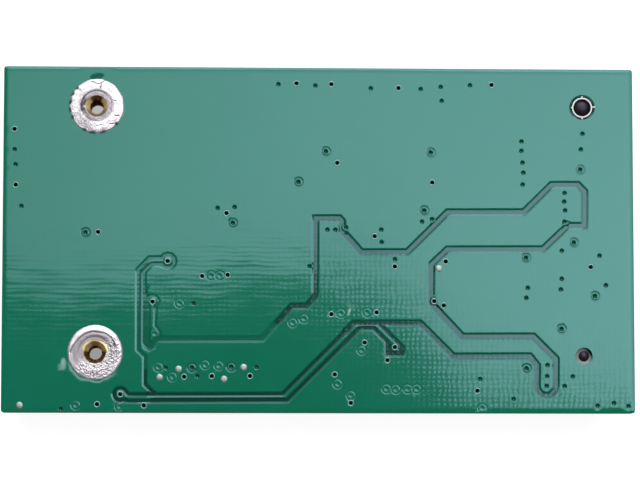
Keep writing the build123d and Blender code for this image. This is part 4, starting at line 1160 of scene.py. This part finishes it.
def signalTracks(lowerFeet, lowerEnd):
    corner, slack = trackSizes["corner"], trackSizes["slack"]
    tracks = [bent(*route) for route in bentRoutes] + crystalRoutes
    for i in range(cableFeet["used"]):
        # each four cable ways bend a pitch further than the last four to reach their resistor array
        y = cableFeet["firstUsed"] + cableFeet["pitch"] * i
        shift = cableFeet["pitch"] * (i // cableFeet["arrayWays"])
        tracks.append(bent((cableFeet["x"], y), cableFeet["bendX"], (cableFeet["arrayX"], y + shift), slack))
    for i in range(upperRoutes["ways"]):
        y, x = (first + upperRoutes["pitch"] * i for first in upperRoutes["first"])
        riseX, high = upperRoutes["riseX"], y + upperRoutes["rise"]
        tracks.append([(arrayX, y), (riseX, y), (riseX + upperRoutes["rise"], high), (x - corner, high),
                       (x, high - corner), (x, chipLeads["upper"])])
    for lead, x, y in couplingRoutes:
        foot = lowerFeet[np.argmin(np.abs(lowerFeet - y))]
        tracks.append([(rightLeadX, lead), (x - corner, lead), (x, lead + corner), (x, y - corner),
                       (x + corner, y), (couplingX["left"], y)])
        tracks.append(bent((couplingX["right"], y), couplingX["bend"], (lowerEnd, foot), slack))
    return tracks


def leadPads(lowerFeet, lowerEnd, upperFeet, upperEnd):
    # each pad runs from a little past the end of a foot to under its lead
    leads, out = chipLeads, footPad["out"]
    pads = []
    for y in np.linspace(*leads["y"], leads["ways"]):
        pads += [[(leads["left"] - out, y), (leads["left"] + leads["padIn"], y)],
                 [(leads["right"] - leads["padIn"], y), (leads["right"] + out, y)]]
    for x in np.linspace(*leads["x"], leads["ways"]):
        pads += [[(x, leads["lower"] - out), (x, leads["lower"] + leads["padIn"])],
                 [(x, leads["upper"] - leads["padIn"]), (x, leads["upper"] + out)]]
    cableYs = np.linspace(*cableFeet["y"], cableFeet["ways"])
    for end, way, feet in ((cableFeet["x"], 1, cableYs), (lowerEnd, -1, lowerFeet), (upperEnd, 1, upperFeet)):
        low, high = sorted((end + way * out, end - way * footPad["in"]))
        pads += [[(low, y), (high, y)] for y in feet]
    return pads


def componentCopper():
    lowerFeet, lowerEnd = socketFeet("socket_lower_contacts", False)
    upperFeet, upperEnd = socketFeet("socket_upper_contacts", True)
    groups = [(trackSizes["signal"], signalTracks(lowerFeet, lowerEnd)), (trackSizes["power"], powerRoutes),
              (trackSizes["supply"], supplyRoutes)]
    ridges("component_side_tracks", groups, trackSizes["height"], "solder_mask")
    pads = leadPads(lowerFeet, lowerEnd, upperFeet, upperEnd)
    ridges("lead_pads", [(trackSizes["padWidth"], pads)], trackSizes["padHeight"], "tin")


componentCopper()
print("stage: component side")

# floor, light and camera
floorLook = {"size": 4000.0, "dark": (0.30, 0.30, 0.30), "light": (0.33, 0.33, 0.33), "scale": 0.01,
             "roughness": 0.9, "shadeReach": (-3.0, 0.0), "shades": (0.30, 0.92)}


def buildFloor():
    # pale floor that keeps soft shadows and looks white to the camera and in reflections,
    # with its glow dimmed under the board as a painted shadow
    mesh = bpy.data.meshes.new("floor")
    half = floorLook["size"] / 2 * mm
    corners = [(-half, -half, 0), (half, -half, 0), (half, half, 0), (-half, half, 0)]
    mesh.from_pydata(corners, [], [(0, 1, 2, 3)])
    floor = bpy.data.objects.new("floor", mesh)
    bpy.context.scene.collection.objects.link(floor)
    material, tree, shader = newMaterial("pale_floor")
    place = millimetres(tree)
    colour = mixColour(tree, noise(tree, place, floorLook["scale"]), floorLook["dark"], floorLook["light"])
    tree.links.new(colour, shader.inputs["Base Color"])
    shader.inputs["Roughness"].default_value = floorLook["roughness"]
    shader.inputs["Specular IOR Level"].default_value = 0.0
    shader.inputs["Emission Color"].default_value = (1, 1, 1, 1)
    path = addNode(tree, "ShaderNodeLightPath")
    seen = path.outputs["Is Camera Ray"]
    for ray in ("Is Glossy Ray", "Is Transmission Ray"):
        seen = maths(tree, "MAXIMUM", seen, path.outputs[ray])
    # painted shadow: the glow seen by the camera is dimmed under the board's footprint
    spot = addNode(tree, "ShaderNodeSeparateXYZ", None, Vector=place).outputs
    beyond = []
    for i in (0, 1):
        fromMiddle = maths(tree, "ABSOLUTE", maths(tree, "SUBTRACT", spot[i], float(boardMiddle[i])))
        beyond.append(maths(tree, "SUBTRACT", fromMiddle, float(boardSize[i] / 2)))
    shade = changeOver(tree, maths(tree, "MAXIMUM", *beyond), floorLook["shadeReach"], floorLook["shades"])
    tree.links.new(times(tree, seen, shade), shader.inputs["Emission Strength"])
    mesh.materials.append(material)


buildFloor()

world = bpy.data.worlds.new("plain_world")
bpy.context.scene.world = world
world.use_nodes = True
background = world.node_tree.nodes["Background"]
background.inputs["Color"].default_value = (0.13, 0.13, 0.13, 1.0)
background.inputs["Strength"].default_value = 1.0


def softbox(name, middle, size, turn, power, spread=180.0):
    lamp = bpy.data.lights.new(name, "AREA")
    lamp.shape = "RECTANGLE"
    lamp.size, lamp.size_y = size[0] * mm, size[1] * mm
    lamp.energy = power
    lamp.spread = math.radians(spread)
    holder = bpy.data.objects.new(name, lamp)
    holder.location = np.array(middle) * mm
    holder.rotation_euler = tuple(math.radians(t) for t in turn)
    bpy.context.scene.collection.objects.link(holder)


# the key box has a grid that narrows its light, so the board mirrors it more brightly on the right
softbox("key_softbox", (208.4, 251.0, 653.5), (1000.0, 500.0), (-6.544, 9.671, -13.118), 0.52, 49.0)
softbox("fill_softbox", (150.0, 900.0, 900.0), (1200.0, 1200.0), (-45.0, 0.0, 0.0), 18.0)

cameraLook = {"place": (-11.406, -26.887, 300.0), "turn": (5.224, -2.243, 0.021), "lens": 168.83,
              "sensor": 36.0, "clipStart": 0.01}
cameraData = bpy.data.cameras.new("camera")
camera = bpy.data.objects.new("camera", cameraData)
bpy.context.scene.collection.objects.link(camera)
bpy.context.scene.camera = camera
camera.location = np.array(cameraLook["place"]) * mm
camera.rotation_euler = tuple(math.radians(t) for t in cameraLook["turn"])
cameraData.lens = cameraLook["lens"]
cameraData.sensor_width = cameraLook["sensor"]
cameraData.clip_start = cameraLook["clipStart"]

bpy.context.scene.view_settings.view_transform = "Standard"

print("stage: floor, light and camera")
